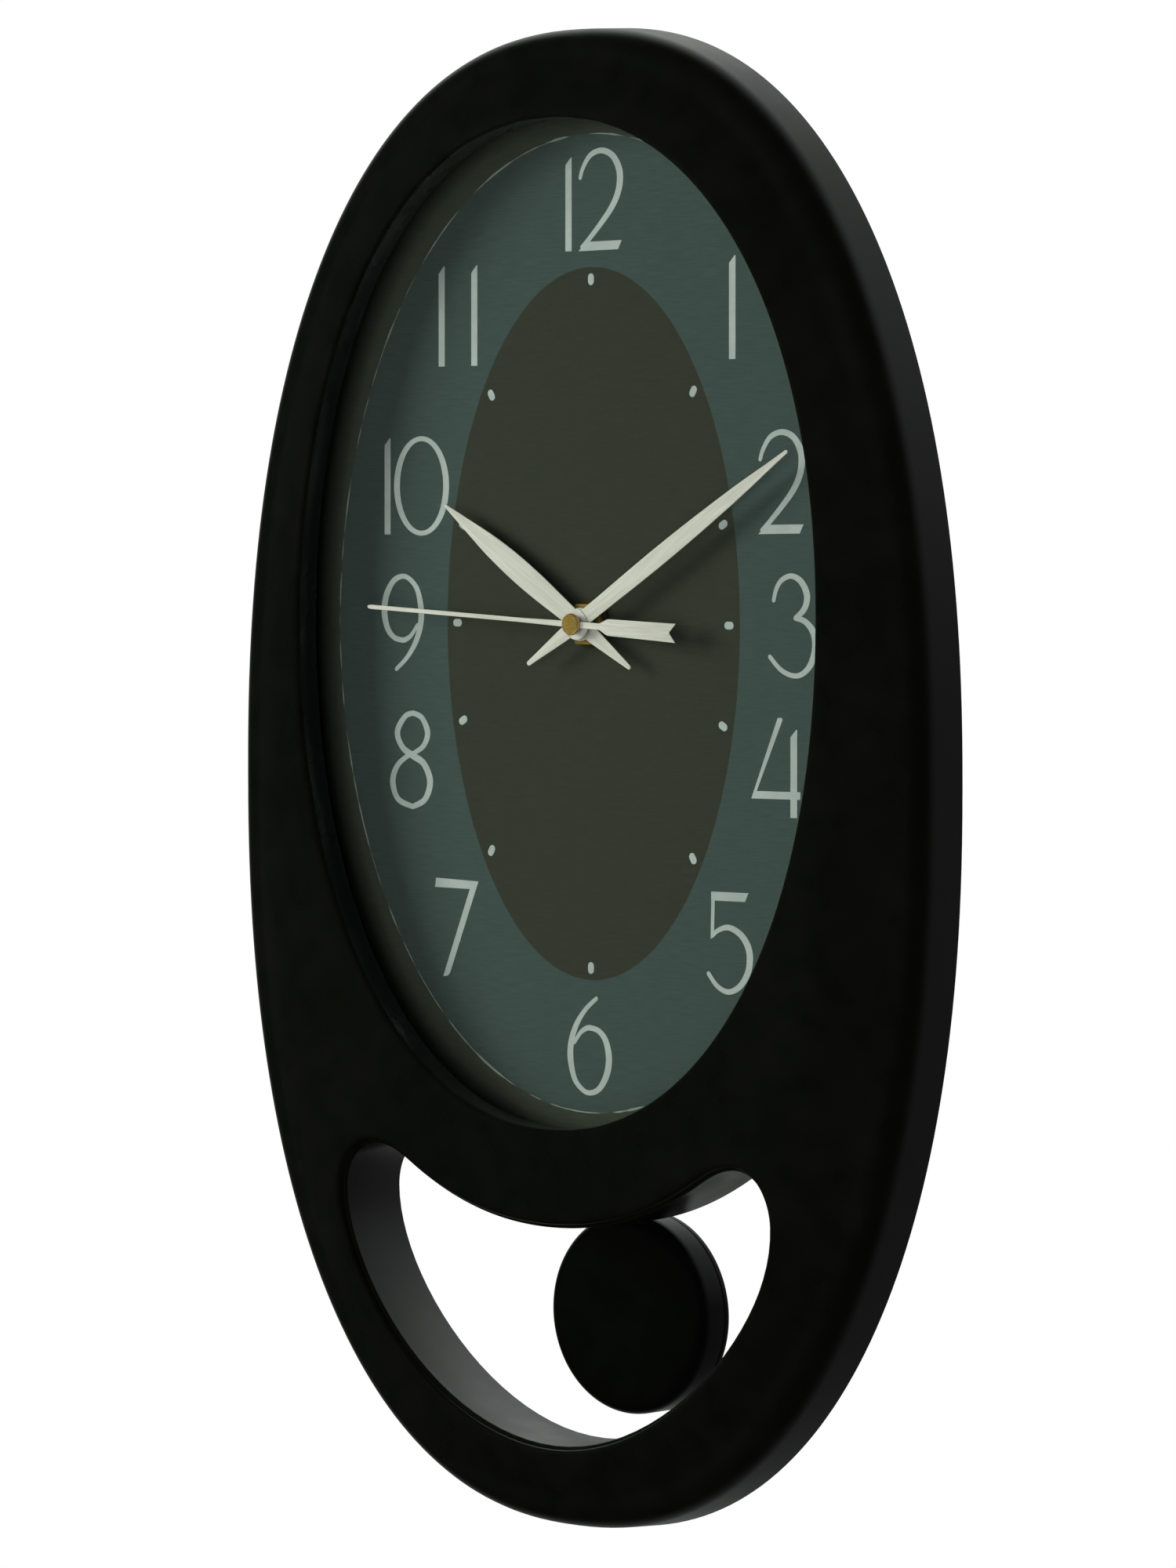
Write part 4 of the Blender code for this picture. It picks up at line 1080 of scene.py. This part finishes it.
def eight():
    falling = [(-71.0, -27.5, 1.6), (-74.6, -28.7, 1.8), (-77.7, -33.4, 2.2), (-75.6, -38.0, 2.0),
               (-71.3, -40.5, 2.1), (-66.8, -42.9, 2.2), (-64.3, -48.2, 2.4), (-66.4, -53.6, 2.0),
               (-71.6, -56.0, 1.6)]
    rising = [(-71.2, -56.0, 1.6), (-77.4, -53.8, 1.9), (-79.6, -48.5, 2.3), (-77.9, -43.9, 1.9),
              (-74.2, -41.0, 1.6), (-70.5, -39.5, 1.5), (-66.9, -37.3, 1.8), (-65.3, -33.4, 2.2),
              (-67.6, -29.0, 1.8), (-71.4, -27.5, 1.6)]
    return [stroke(falling, False, False), stroke(rising, False, False)]


def nought(x, z, width, height):
    """A ring, thicker at its sides than at its ends."""
    sides, ends = 2.4, 1.5
    outer = oval(width / 2, height / 2, count=64)
    inner = oval(width / 2 - sides, height / 2 - ends, count=64)
    return [shifted(outer, x, z), shifted(inner, x, z)]


# %% [markdown]
# Figures with two digits are two figures side by side.

# %% All twelve numerals
SIX = six()
NUMERALS = {
    1: [one(53.05, 77.5, 30.1)], 2: two(64.1, 26.6), 3: three(), 4: four(), 5: five(), 6: SIX,
    7: seven(), 8: eight(), 9: turned_round(SIX, (-0.45, -125.05), (-75.5, -0.2)),
    10: [one(-82.9, 26.6, 29.2), nought(-67.75, 41.25, 22.5, 30.1)],
    11: [one(-60.7, 77.2, 30.1), one(-47.5, 77.2, 30.1)],
    12: [one(-10.0, 110.5, 27.7)] + two(-4.9, 110.4),
}
for hour, shapes in NUMERALS.items():
    numeral(f"numeral_{hour}", shapes)

# %% [markdown]
# ## Hands
# Each hand is a blanked strip with a fine rounded edge. The long leaves swell to their widest a third
# of the way out and close to a point, and short leaves balance them behind. The hour and minute hands
# are pressed on polished drums, and a small brass cap closes the second hand's tube.

# %% Hands
def turn_clockwise(points, angle):
    c, s = math.cos(math.radians(angle)), math.sin(math.radians(angle))
    return [(x * c + z * s, z * c - x * s) for x, z in points]


def leaf(rows, tip, tail_tip):
    """A leaf from (along, half width) rows, tail first, with round ends."""
    line = smooth_line(rows, 6)
    right = [(half, along) for along, half in line]
    top = arc(tip, 0.0, math.pi, 8, (0.0, rows[-1][0]))[1:-1]
    bottom = arc(tail_tip, math.pi, 2 * math.pi, 8, (0.0, rows[0][0]))[1:-1]
    return right + top + mirror(right) + bottom


def ring(radius, count=48):
    return oval(radius, radius, count=count)


def hand(name, outline, front, back, hub, bore):
    blade = stamped([turn_clockwise(outline, HAND_ANGLES[name])], front, back, edge=0.1)
    disc = collar(bore, hub, front, back, radius=0.12)
    bored = carved(blade, [cylinder(hub - 0.3, -20, 10, (0.0, 0.0), 96)])
    return joined([bored, disc])


hour_leaf = leaf([(-22.7, 0.7), (-20.0, 0.98), (-12.0, 1.8), (-6.0, 2.4), (0.0, 2.7), (8.0, 3.05),
                  (20.0, 3.7), (31.0, 3.8), (42.0, 3.2), (54.0, 1.75), (64.0, 0.45)], 0.45, 0.7)
minute_leaf = leaf([(-22.0, 0.75), (-19.0, 0.98), (-12.0, 1.6), (-6.0, 2.1), (0.0, 2.35), (12.0, 2.5),
                    (28.0, 2.75), (40.0, 2.8), (55.0, 2.55), (72.0, 1.95), (86.0, 1.05), (94.4, 0.55)],
                   0.55, 0.75)
needle = [(0.5, 81.8), (0.65, 81.0), (0.65, 20.0), (0.95, 0.0), (0.95, -10.6), (2.25, -13.2),
          (2.45, -14.2), (2.8, -39.9), (0.35, -37.7), (0.0, -37.5)]
tip_arc = arc(0.5, math.pi, 0.0, 6, (0.0, 81.8))[1:-1]
second_shape = needle + mirror(needle[:-1]) + tip_arc
hands = {
    "hour": hand("hour", hour_leaf, -5.1, -4.7, 4.9, 2.85),
    "minute": hand("minute", minute_leaf, -6.8, -6.4, 4.6, 1.9),
    "second": hand("second", second_shape, -8.6, -8.3, 3.0, 0.8),
}
for name, mesh in hands.items():
    piece(f"{name}_blade", mesh, name + "s", "brushed_hand", BRUSHED[name], f"{name}_hand")

# %% [markdown]
# Behind each hand stands its drum, and behind those the hexagon nut that holds the movement to the dial.

# %% Drums, cap, nut and washer
piece("hour_drum", collar(2.85, 4.5, -4.4, -3.7),
      "hours", "steel", POLISHED_STEEL, "hour_collar")
piece("minute_drum", collar(1.9, 4.0, -6.1, -5.6),
      "minutes", "steel", POLISHED_STEEL, "minute_collar")
piece("second_tube", collar(0.8, 1.9, -8.0, -7.5, 64, 0.15),
      "seconds", "steel", POLISHED_STEEL, "second_collar")
piece("brass_cap", turned([(0, -9.9), (2.9, -9.88), (3.25, -9.5), (3.25, -8.9), (0, -8.9)], 96, radius=0.2),
      "seconds", "brass", TURNED_BRASS, "second_cap")
hexagon = arc(6.9, 0.0, 2 * math.pi, 6)[:-1]
piece("hexagon_nut", stamped([hexagon, ring(4.3)], -3.1, -1.2, edge=0.25), "case", "brass", TURNED_BRASS,
      "fixing_nut")
piece("flat_washer", collar(4.3, 7.2, -0.9, -0.3, 64, 0.15),
      "case", "brass", DULL_BRASS, "fixing_washer")

# %% [markdown]
# ## Pendulum
# The bob is a hollow disc with a flat front and a generously rounded edge, closed by a lid at the back.
# It is turned from a profile with many sides, because it stands alone against the light in the window
# and any flat on its rim would show.

# %% Bob and its lid
BOB_Z = -206.3
BOB_RADIUS, BOB_FRONT, BOB_SPLIT, BOB_BACK, BOB_EDGE = 30.2, 14.0, 25.0, 28.2, 4.6


def bob_edge(radius):
    """The rounded edge as an arc about the same centre, from the flat front to the side."""
    return [(BOB_RADIUS - BOB_EDGE + radius * math.sin(math.pi / 2 * k / 10),
             BOB_FRONT + BOB_EDGE - radius * math.cos(math.pi / 2 * k / 10)) for k in range(11)]


BOB_WALL = 1.8
dish = [(0.0, BOB_FRONT)] + bob_edge(BOB_EDGE)
dish += [(BOB_RADIUS, BOB_SPLIT), (BOB_RADIUS - BOB_WALL, BOB_SPLIT)]
dish += bob_edge(BOB_EDGE - BOB_WALL)[::-1] + [(0.0, BOB_FRONT + BOB_WALL)]
rod_gap = block((-2.5, 22.2, BOB_Z + 20), (2.5, 30.0, BOB_Z + 35))
bob = carved(turned(dish, 128, (0.0, BOB_Z), radius=0), [rod_gap])
piece("bob_dish", bob, "pendulum", "black_plastic", POLISHED_ABS, "bob_front")
lid = [(2.4, 25.3), (BOB_RADIUS, 25.3), (BOB_RADIUS, 27.2), (BOB_RADIUS - 1.1, BOB_BACK),
       (24.5, BOB_BACK), (24.0, 27.7), (23.0, 27.7), (22.5, BOB_BACK), (6.2, BOB_BACK), (5.4, 27.4),
       (2.4, 27.4)]
piece("bob_lid", turned(lid, 128, (0.0, BOB_Z), radius=0.3, ring=True), "pendulum", "black_plastic",
      POLISHED_ABS, "bob_back")


# %% [markdown]
# Round screws share one head: a low dome with a cross recess cut in it. The recess is two crossed
# blocks whose ends taper away, taken from the dome before the screw is set in its place.

# %% Screws
def screw(length, shank, head, top, dome=0.7, slot=0.7):
    """A pan-head screw with a cross recess, about the y axis, with its head's seat at y = 0."""
    profile = [(0.0, -length), (shank * 0.4, -length), (shank, -length + shank), (shank, 0.0), (head, 0.0),
               (head, top - dome), (head * 0.7, top - 0.12), (0.0, top)]
    arm = head * 0.62
    cross = [block((-arm, top - 1.0, -slot / 2), (arm, top + 1, slot / 2)),
             block((-slot / 2, top - 1.0, -arm), (slot / 2, top + 1, arm))]
    return carved(turned(profile, 40, radius=0.2), cross)


def moved(mesh, x, y, z):
    mesh.transform(Matrix.Translation((x, y, z)))
    return mesh


housing_screw = moved(screw(12.0, 1.2, 3.0, 1.7), 0.0, 9.0, 0.0)
screws = grown(housing_screw, ALONG, SCREW_LINE, ZINC_STEEL)
piece("housing_screws", screws, "case", "steel", ZINC_STEEL, *[f"housing_screw_{n}" for n in range(1, 7)])
bob_fixing = moved(screw(7.5, 0.9, 2.2, 1.0, dome=0.4, slot=0.5), 0.0, 27.5, BOB_Z)
piece("bob_fixing_screw", bob_fixing, "pendulum", "steel", ZINC_STEEL, "bob_screw")

# %% [markdown]
# ## The back
# The rear housing is a shallow pan with a flange that closes the shell. A loft over parallel ovals
# makes it, with its corners softened in the profile. The window for the movement, the slot for the
# pendulum's rod and the recess behind the hanger are then cut through, as cores in the mould would.

# %% Rear housing
RIVETS = [(-11.0, 112.0), (11.0, 112.0)]


def screw_places():
    """The six points of the screw line, found as the tree finds them."""
    count, pieces = SCREW_LINE["Points"], SCREW_LINE["Pieces"]
    line = grow(oval(count=count, **OPENING), SCREW_LINE["Outwards"])
    return [line[k] for k in range(count) if abs(k * pieces % count - count / 2) < pieces / 2]


def box_outline(left, right, bottom, top, corner):
    """A rectangle with rounded corners."""
    return softened([(left, bottom), (right, bottom), (right, top), (left, top)], corner, closed=True)


def rear_pan():
    """The pan's section is (outwards from the dial opening, backwards)."""
    profile = [(-4.5, WALL_PLANE), (-1.2, WALL_PLANE), (0.6, 30.2), (1.4, 28.6), (5.0, 8.7), (22.8, 8.7),
               (22.8, 6.5), (12.2, 6.5), (12.2, 3.5), (7.0, 3.5), (2.8, 8.7), (-0.8, 28.2), (-4.0, 29.3)]
    pan = loft([(opening_edge(extra), y) for extra, y in softened(profile, 0.8)])
    window = stamped([box_outline(-31.0, 31.0, -77.0, 33.0, 3.0)], 25.0, 40.0, edge=0.01, edge_steps=0)
    hook = stamped([box_outline(-9.0, 9.0, 100.0, 124.0, 2.0)], 25.0, 40.0, edge=0.01, edge_steps=0)
    cutters = [window, hook, block((-22.0, 17.0, -165.0), (22.0, 27.4, -130.0))]
    screw_hole = [(0, 0), (1.8, 0), (1.8, 8.0), (3.5, 8.4), (3.5, 12), (0, 12)]
    cutters += [turned(screw_hole, 32, place, radius=0) for place in screw_places()]
    cutters += [cylinder(1.5, 25, 40, place, 24) for place in RIVETS]
    grooves = [block((-24.0, WALL_PLANE - 0.6, z), (24.0, 40.0, z + 1.6)) for z in range(-112, -90, 5)]
    return carved(pan, cutters + grooves)


piece("rear_pan", rear_pan(), "case", "black_plastic", GRAINED_ABS, "rear_housing")

# %% [markdown]
# A raised bead runs round the pan's side wall. It stiffens the moulding and is swept along the oval
# by the same tree as the dial's ring.

# %% Stiffening bead
bead = softened([(2.2, 22.6), (3.7, 22.4), (4.05, 20.4), (2.6, 20.2)], 0.5, closed=True)
piece("pan_bead", moulded(bead, GRAINED_ABS), "case", "black_plastic", GRAINED_ABS)

# %% [markdown]
# The hanger is a stamped steel plate, riveted inside the recess. The nail's head passes through the
# round hole and its shank then slides up into the narrow slot.

# %% Hanger plate and rivets
HOOK_HEIGHT = 118.0


def keyhole(slot=2.6, hole=5.0, drop=10.0):
    lean = math.asin(slot / hole)
    return (arc(slot, 0.0, math.pi, 16, (0.0, HOOK_HEIGHT))
            + arc(hole, math.pi / 2 + lean, math.pi * 5 / 2 - lean, 40, (0.0, HOOK_HEIGHT - drop)))


rivet_holes = [shifted(ring(1.5, 24), *place) for place in RIVETS]
plate_edge = box_outline(-13.0, 13.0, 96.0, 128.0, 3.0)
plate = stamped([plate_edge, keyhole()] + rivet_holes, 28.0, 29.0, edge=0.15)
piece("hanger", plate, "case", "steel", GALVANISED, "hanger_plate")
rivet = [(0, 26.9), (1.6, 26.9), (2.3, 27.7), (1.2, 27.7), (1.2, 31.2), (0, 31.2)]
for number, place in enumerate(RIVETS, 1):
    piece(f"rivet_{number}", turned(rivet, 32, place, radius=0.3), "case", "steel", ZINC_STEEL,
          f"hanger_rivet_{number}")

# %% [markdown]
# ## Movement
# The quartz movement is a small grey box. Its outside is seen through the window of the rear pan, so
# its own solids are copied, merged and softened along their edges, which keeps every cut in its place.
# The wheels and coils inside keep their solids and take real finishes.

# %% Movement case, cover and battery contacts
piece("movement_box", softened_copy("movement_case", 0.3), "case", "dark_plastic", MOULDED_PS,
      "movement_case")
cover = softened_copy("movement_cover", 0.25)
KNOB_AT = (9.5, -5.4)
MARK_FLOOR = 20.5 - 0.45             # the lid's back, less the depth of its marks
marks_on_cover = [block((-24.0, MARK_FLOOR, z), (-4.0, 30.0, z + 0.9)) for z in (2.0, 4.5, 7.0, 9.5)]
catches = [block((x - 2.5, MARK_FLOOR, 21.5), (x + 2.5, 30.0, 24.5)) for x in (-21.0, 21.0)]
ring_cut = collar(6.4, 7.2, MARK_FLOOR, 30.0, 64, 0.0, KNOB_AT)
lid_mesh = carved(cover, marks_on_cover + catches + [ring_cut])
WIDE_FACE = 12.0                     # square mm: larger faces are flat walls and take no smooth shading
for polygon in lid_mesh.polygons:
    if polygon.area > WIDE_FACE:
        polygon.use_smooth = False
piece("movement_lid", lid_mesh, "case", "dark_plastic", MOULDED_PS, "movement_cover")
for sign in ("positive", "negative"):
    piece(f"contact_{sign}", softened_copy(f"battery_contact_{sign}", 0.12), "case", "steel", SPRING_STEEL,
          f"battery_contact_{sign}")

# %% [markdown]
# The setting knob is gripped between finger and thumb, so its rim is ribbed. One rib is a small
# rounded bar, and the ellipse tree sets thirty of them round the knob's edge.

# %% Setting knob
core = turned([(0, 10.8), (1.0, 10.8), (1.0, 20.8), (4.65, 20.8), (4.65, 23.2), (4.1, 23.5), (3.3, 23.5),
               (2.9, 23.0), (0, 23.0)], 64, radius=0.15)
rib = stamped([capsule(0.62, 0.5, 4)], 20.95, 23.15, edge=0.1, edge_steps=1)
ribs = grown(rib, AROUND, {"Copies": 30, "Half Width": 4.66, "Half Height": 4.66}, WHITE_POM)
knob = moved(joined([core, ribs]), KNOB_AT[0], 0.0, KNOB_AT[1])
smooth(knob)
piece("ribbed_knob", knob, "setting", "white_plastic", WHITE_POM, "setting_knob")

# %% [markdown]
# The cell is turned from its profile and then swung round to lie along x, with its plus end at +x.

# %% Battery
half = 24.6
cell = [(0, -half - 1.0), (2.7, -half - 1.0), (2.7, -half), (6.2, -half), (6.5, -half + 0.3),
        (7.1, -half + 0.8), (7.1, half - 0.7), (6.5, half), (5.9, half), (5.7, half - 0.25),
        (0, half - 0.25)]
cell = turned(cell, 96, radius=0.2)
cell.transform(Matrix.Translation((0.0, 11.8, -24.0)) @ Matrix.Rotation(math.pi / 2, 4, "Z"))
piece("aa_cell", cell, "case", "battery_wrap", CELL_SLEEVE, "battery")

# %% [markdown]
# The pendulum hangs from a moulded lever. It swings on a post, a coil behind it pushes its small
# magnet at each swing, and the strip of the rod hooks on a stud at its lower end.

# %% Pendulum drive
PIVOT_Z, HOOK_Z, MAGNET_Z = -38.0, -71.0, -50.5
drop = HOOK_Z - PIVOT_Z
right = [(3.2, drop - 3.2), (3.2, -18.0), (5.2, -12.0), (5.2, 0.0)]
arm = shifted(right + arc(5.2, 0.0, math.pi, 16)[1:-1] + mirror(right), 0.0, PIVOT_Z)
eye = shifted(ring(1.5, 32), 0.0, PIVOT_Z)
lever = stamped([arm, eye], 20.8, 22.4, edge=0.25)
stud = cylinder(1.0, 21.6, 24.4, (0.0, HOOK_Z), 32, 0.25)
piece("swing_lever", joined([lever, stud]), "pendulum", "white_plastic", WHITE_POM, "pendulum_lever")
piece("drive_magnet", cylinder(4.2, 22.7, 25.2, (0.0, MAGNET_Z), 64, 0.35),
      "pendulum", "magnet", SINTERED_MAGNET, "lever_magnet")
strip = box_outline(-1.8, 1.8, -198.0, HOOK_Z + 4.0, 0.6)
strip_hole = shifted(ring(1.35, 32), 0.0, HOOK_Z)
piece("rod_strip", stamped([strip, strip_hole], 22.7, 23.5, edge=0.12), "pendulum", "steel", SPRING_STEEL,
      "pendulum_rod")
post = [(0, 17.0), (2.4, 17.0), (2.4, 18.9), (1.1, 18.9), (1.1, 26.0), (0, 26.0)]
piece("pivot_post", turned(post, 48, (0.0, PIVOT_Z), radius=0.2), "case", "steel", ZINC_STEEL,
      "pendulum_pivot")
piece("spring_clip", collar(1.4, 2.8, 24.0, 24.6, 48, 0.15, (0.0, PIVOT_Z)), "case", "steel",
      SPRING_STEEL, "pivot_clip")

# %% [markdown]
# The solids that stay are flat sheets with hidden edges and the works inside the movement. Each only
# needs the finish of what it is made of.

# %% Finishes for the solids that stay
KEPT = {
    "dial": DIAL_PRINT, "dial_glass": CRYSTAL, "dial_plate": MOULDED_PS, "centre_wheel": TURNED_BRASS,
    "second_wheel": TURNED_BRASS, "third_wheel": TURNED_BRASS, "fifth_wheel": TURNED_BRASS,
    "hour_wheel": WHITE_POM, "motion_wheel": WHITE_POM, "circuit_board": BOARD, "quartz_can": ZINC_STEEL,
    "control_chip": CHIP_EPOXY, "rotor_arbor": POLISHED_STEEL, "rotor_magnet": SINTERED_MAGNET,
    "stator": TINNED_IRON, "drive_coil": WOUND_COPPER, "pendulum_coil": WOUND_COPPER,
}
for name, item in NODES.items():
    if item.hide_render:
        continue
    finish = KEPT.get(name)
    if finish is None:
        print("no finish for", name)
        continue
    if not item.material_slots:
        item.data.materials.append(finish)
    for slot in item.material_slots:
        slot.material = finish
print("kept solids:", len(KEPT))

# %% [markdown]
# ## Studio
# The clock hangs in front of a white sweep with a pale floor far below. Black gloss shows its
# surroundings, so they are kept dim in front and bright behind and above: the rims catch a soft light
# and the faces stay dark. A wide lamp at the upper left throws the soft shadows of bezel and hands.

# %% Floor
floor_mesh = bpy.data.meshes.new("studio_floor")
REACH, DEPTH = 4.0, -1.4             # metres: half the floor's width, and how far below it lies
corners = [(x * REACH, y * REACH, DEPTH) for x, y in ((-1, -1), (1, -1), (1, 1), (-1, 1))]
floor_mesh.from_pydata(corners, [], [(0, 1, 2, 3)])
floor = placed("studio_floor", floor_mesh)
floor_mesh.materials.append(surface("pale_painted_floor", ("E9E9E7", "F1F1EF"), (0.7, 0.8), 40.0, 0.1))
floor.visible_glossy = False


# %% [markdown]
# The background is plain white for the camera. Everything else sees a dim studio whose brightness
# changes slowly with direction.

# %% Surroundings
def surroundings():
    world = bpy.data.worlds.new("studio")
    bpy.context.scene.world = world
    world.use_nodes = True
    tree = world.node_tree
    tree.nodes.clear()
    way = add(tree, "ShaderNodeTexCoord").outputs["Generated"]
    axes = add(tree, "ShaderNodeSeparateXYZ", {"Vector": way}).outputs
    behind = ramp(tree, axes[1], 0.1, 0.8)
    below = ramp(tree, axes[2], -0.7, 0.0, 0.1, 0.13)
    above = ramp(tree, axes[2], 0.05, 0.7, 0.0, 0.42)
    leftward = ramp(tree, axes[0], -0.8, 0.2, 2.6, 1.0)
    front = ramp(tree, axes[2], -0.5, 0.3, 0.006, 0.022)
    level = maths(tree, "ADD", below, above)
    level = maths(tree, "MULTIPLY", level, behind)
    level = maths(tree, "MULTIPLY", level, leftward)
    level = maths(tree, "ADD", level, front)
    lit = add(tree, "ShaderNodeBackground", {"Color": linear("F4FBF6"), "Strength": level})
    white = add(tree, "ShaderNodeBackground", {"Color": (1.0, 1.0, 1.0, 1.0), "Strength": 1.0})
    rays = add(tree, "ShaderNodeLightPath")
    shown = add(tree, "ShaderNodeMixShader", {
        0: rays.outputs["Is Camera Ray"], 1: lit.outputs[0], 2: white.outputs[0]})
    add(tree, "ShaderNodeOutputWorld", {"Surface": shown.outputs[0]})


surroundings()
bpy.context.scene.view_settings.view_transform = "Standard"


# %% [markdown]
# The camera stands to the right, a little above the dial's middle, with a long lens. A small downward
# shift takes the place of some of the tilt, so the clock's sides converge less.

# %% Lamps and camera
CLOCK_MIDDLE = (0.0, -0.03, -0.14)


def aimed(item, place, target):
    item.location = place
    item.rotation_euler = (Vector(target) - Vector(place)).to_track_quat("-Z", "Y").to_euler()


def lamp(name, place, width, height, power, colour):
    """A soft lamp aimed at the clock. Gloss and glass don't mirror it."""
    data = bpy.data.lights.new(name, "AREA")
    data.shape = "RECTANGLE"
    data.size, data.size_y = width, height
    data.energy = power
    data.color = linear(colour)[:3]
    item = placed(name, data)
    item.visible_glossy = False
    item.visible_transmission = False
    aimed(item, place, CLOCK_MIDDLE)


lamp("key_softbox", (-1.2, -1.02, 0.2), 0.8, 0.7, 39.0, "FFFFF2")
lamp("front_fill", (0.7, -2.2, -0.3), 1.6, 1.6, 42.0, "FFFCF6")
lamp("back_fill", (-0.9, 1.6, 0.2), 1.4, 1.4, 16.0, "FFFFFF")

AZIMUTH = math.radians(40.82)
DISTANCE, HEIGHT = 2.0, 0.02548      # metres from the dial's centre, and above it
SENSOR, LENS = 36.0, 154.98          # mm
SHIFT_DOWN = 0.04                    # of the frame's longer side
AIM_DOWN, AIM_LEFT = 0.02714286, 0.00065041     # metres for each metre ahead
ahead = Vector((-math.sin(AZIMUTH), math.cos(AZIMUTH), 0.0))
to_right = Vector((math.cos(AZIMUTH), math.sin(AZIMUTH), 0.0))
camera_data = bpy.data.cameras.new("camera")
camera_data.sensor_width, camera_data.lens = SENSOR, LENS
camera_data.shift_y = -SHIFT_DOWN
camera_data.clip_start, camera_data.clip_end = 0.05, 60.0
camera = placed("camera", camera_data)
stand = DIAL_CENTRE - ahead * DISTANCE + Vector((0.0, 0.0, HEIGHT))
aimed(camera, stand, stand + ahead - to_right * AIM_LEFT - Vector((0.0, 0.0, AIM_DOWN)))
bpy.context.scene.camera = camera
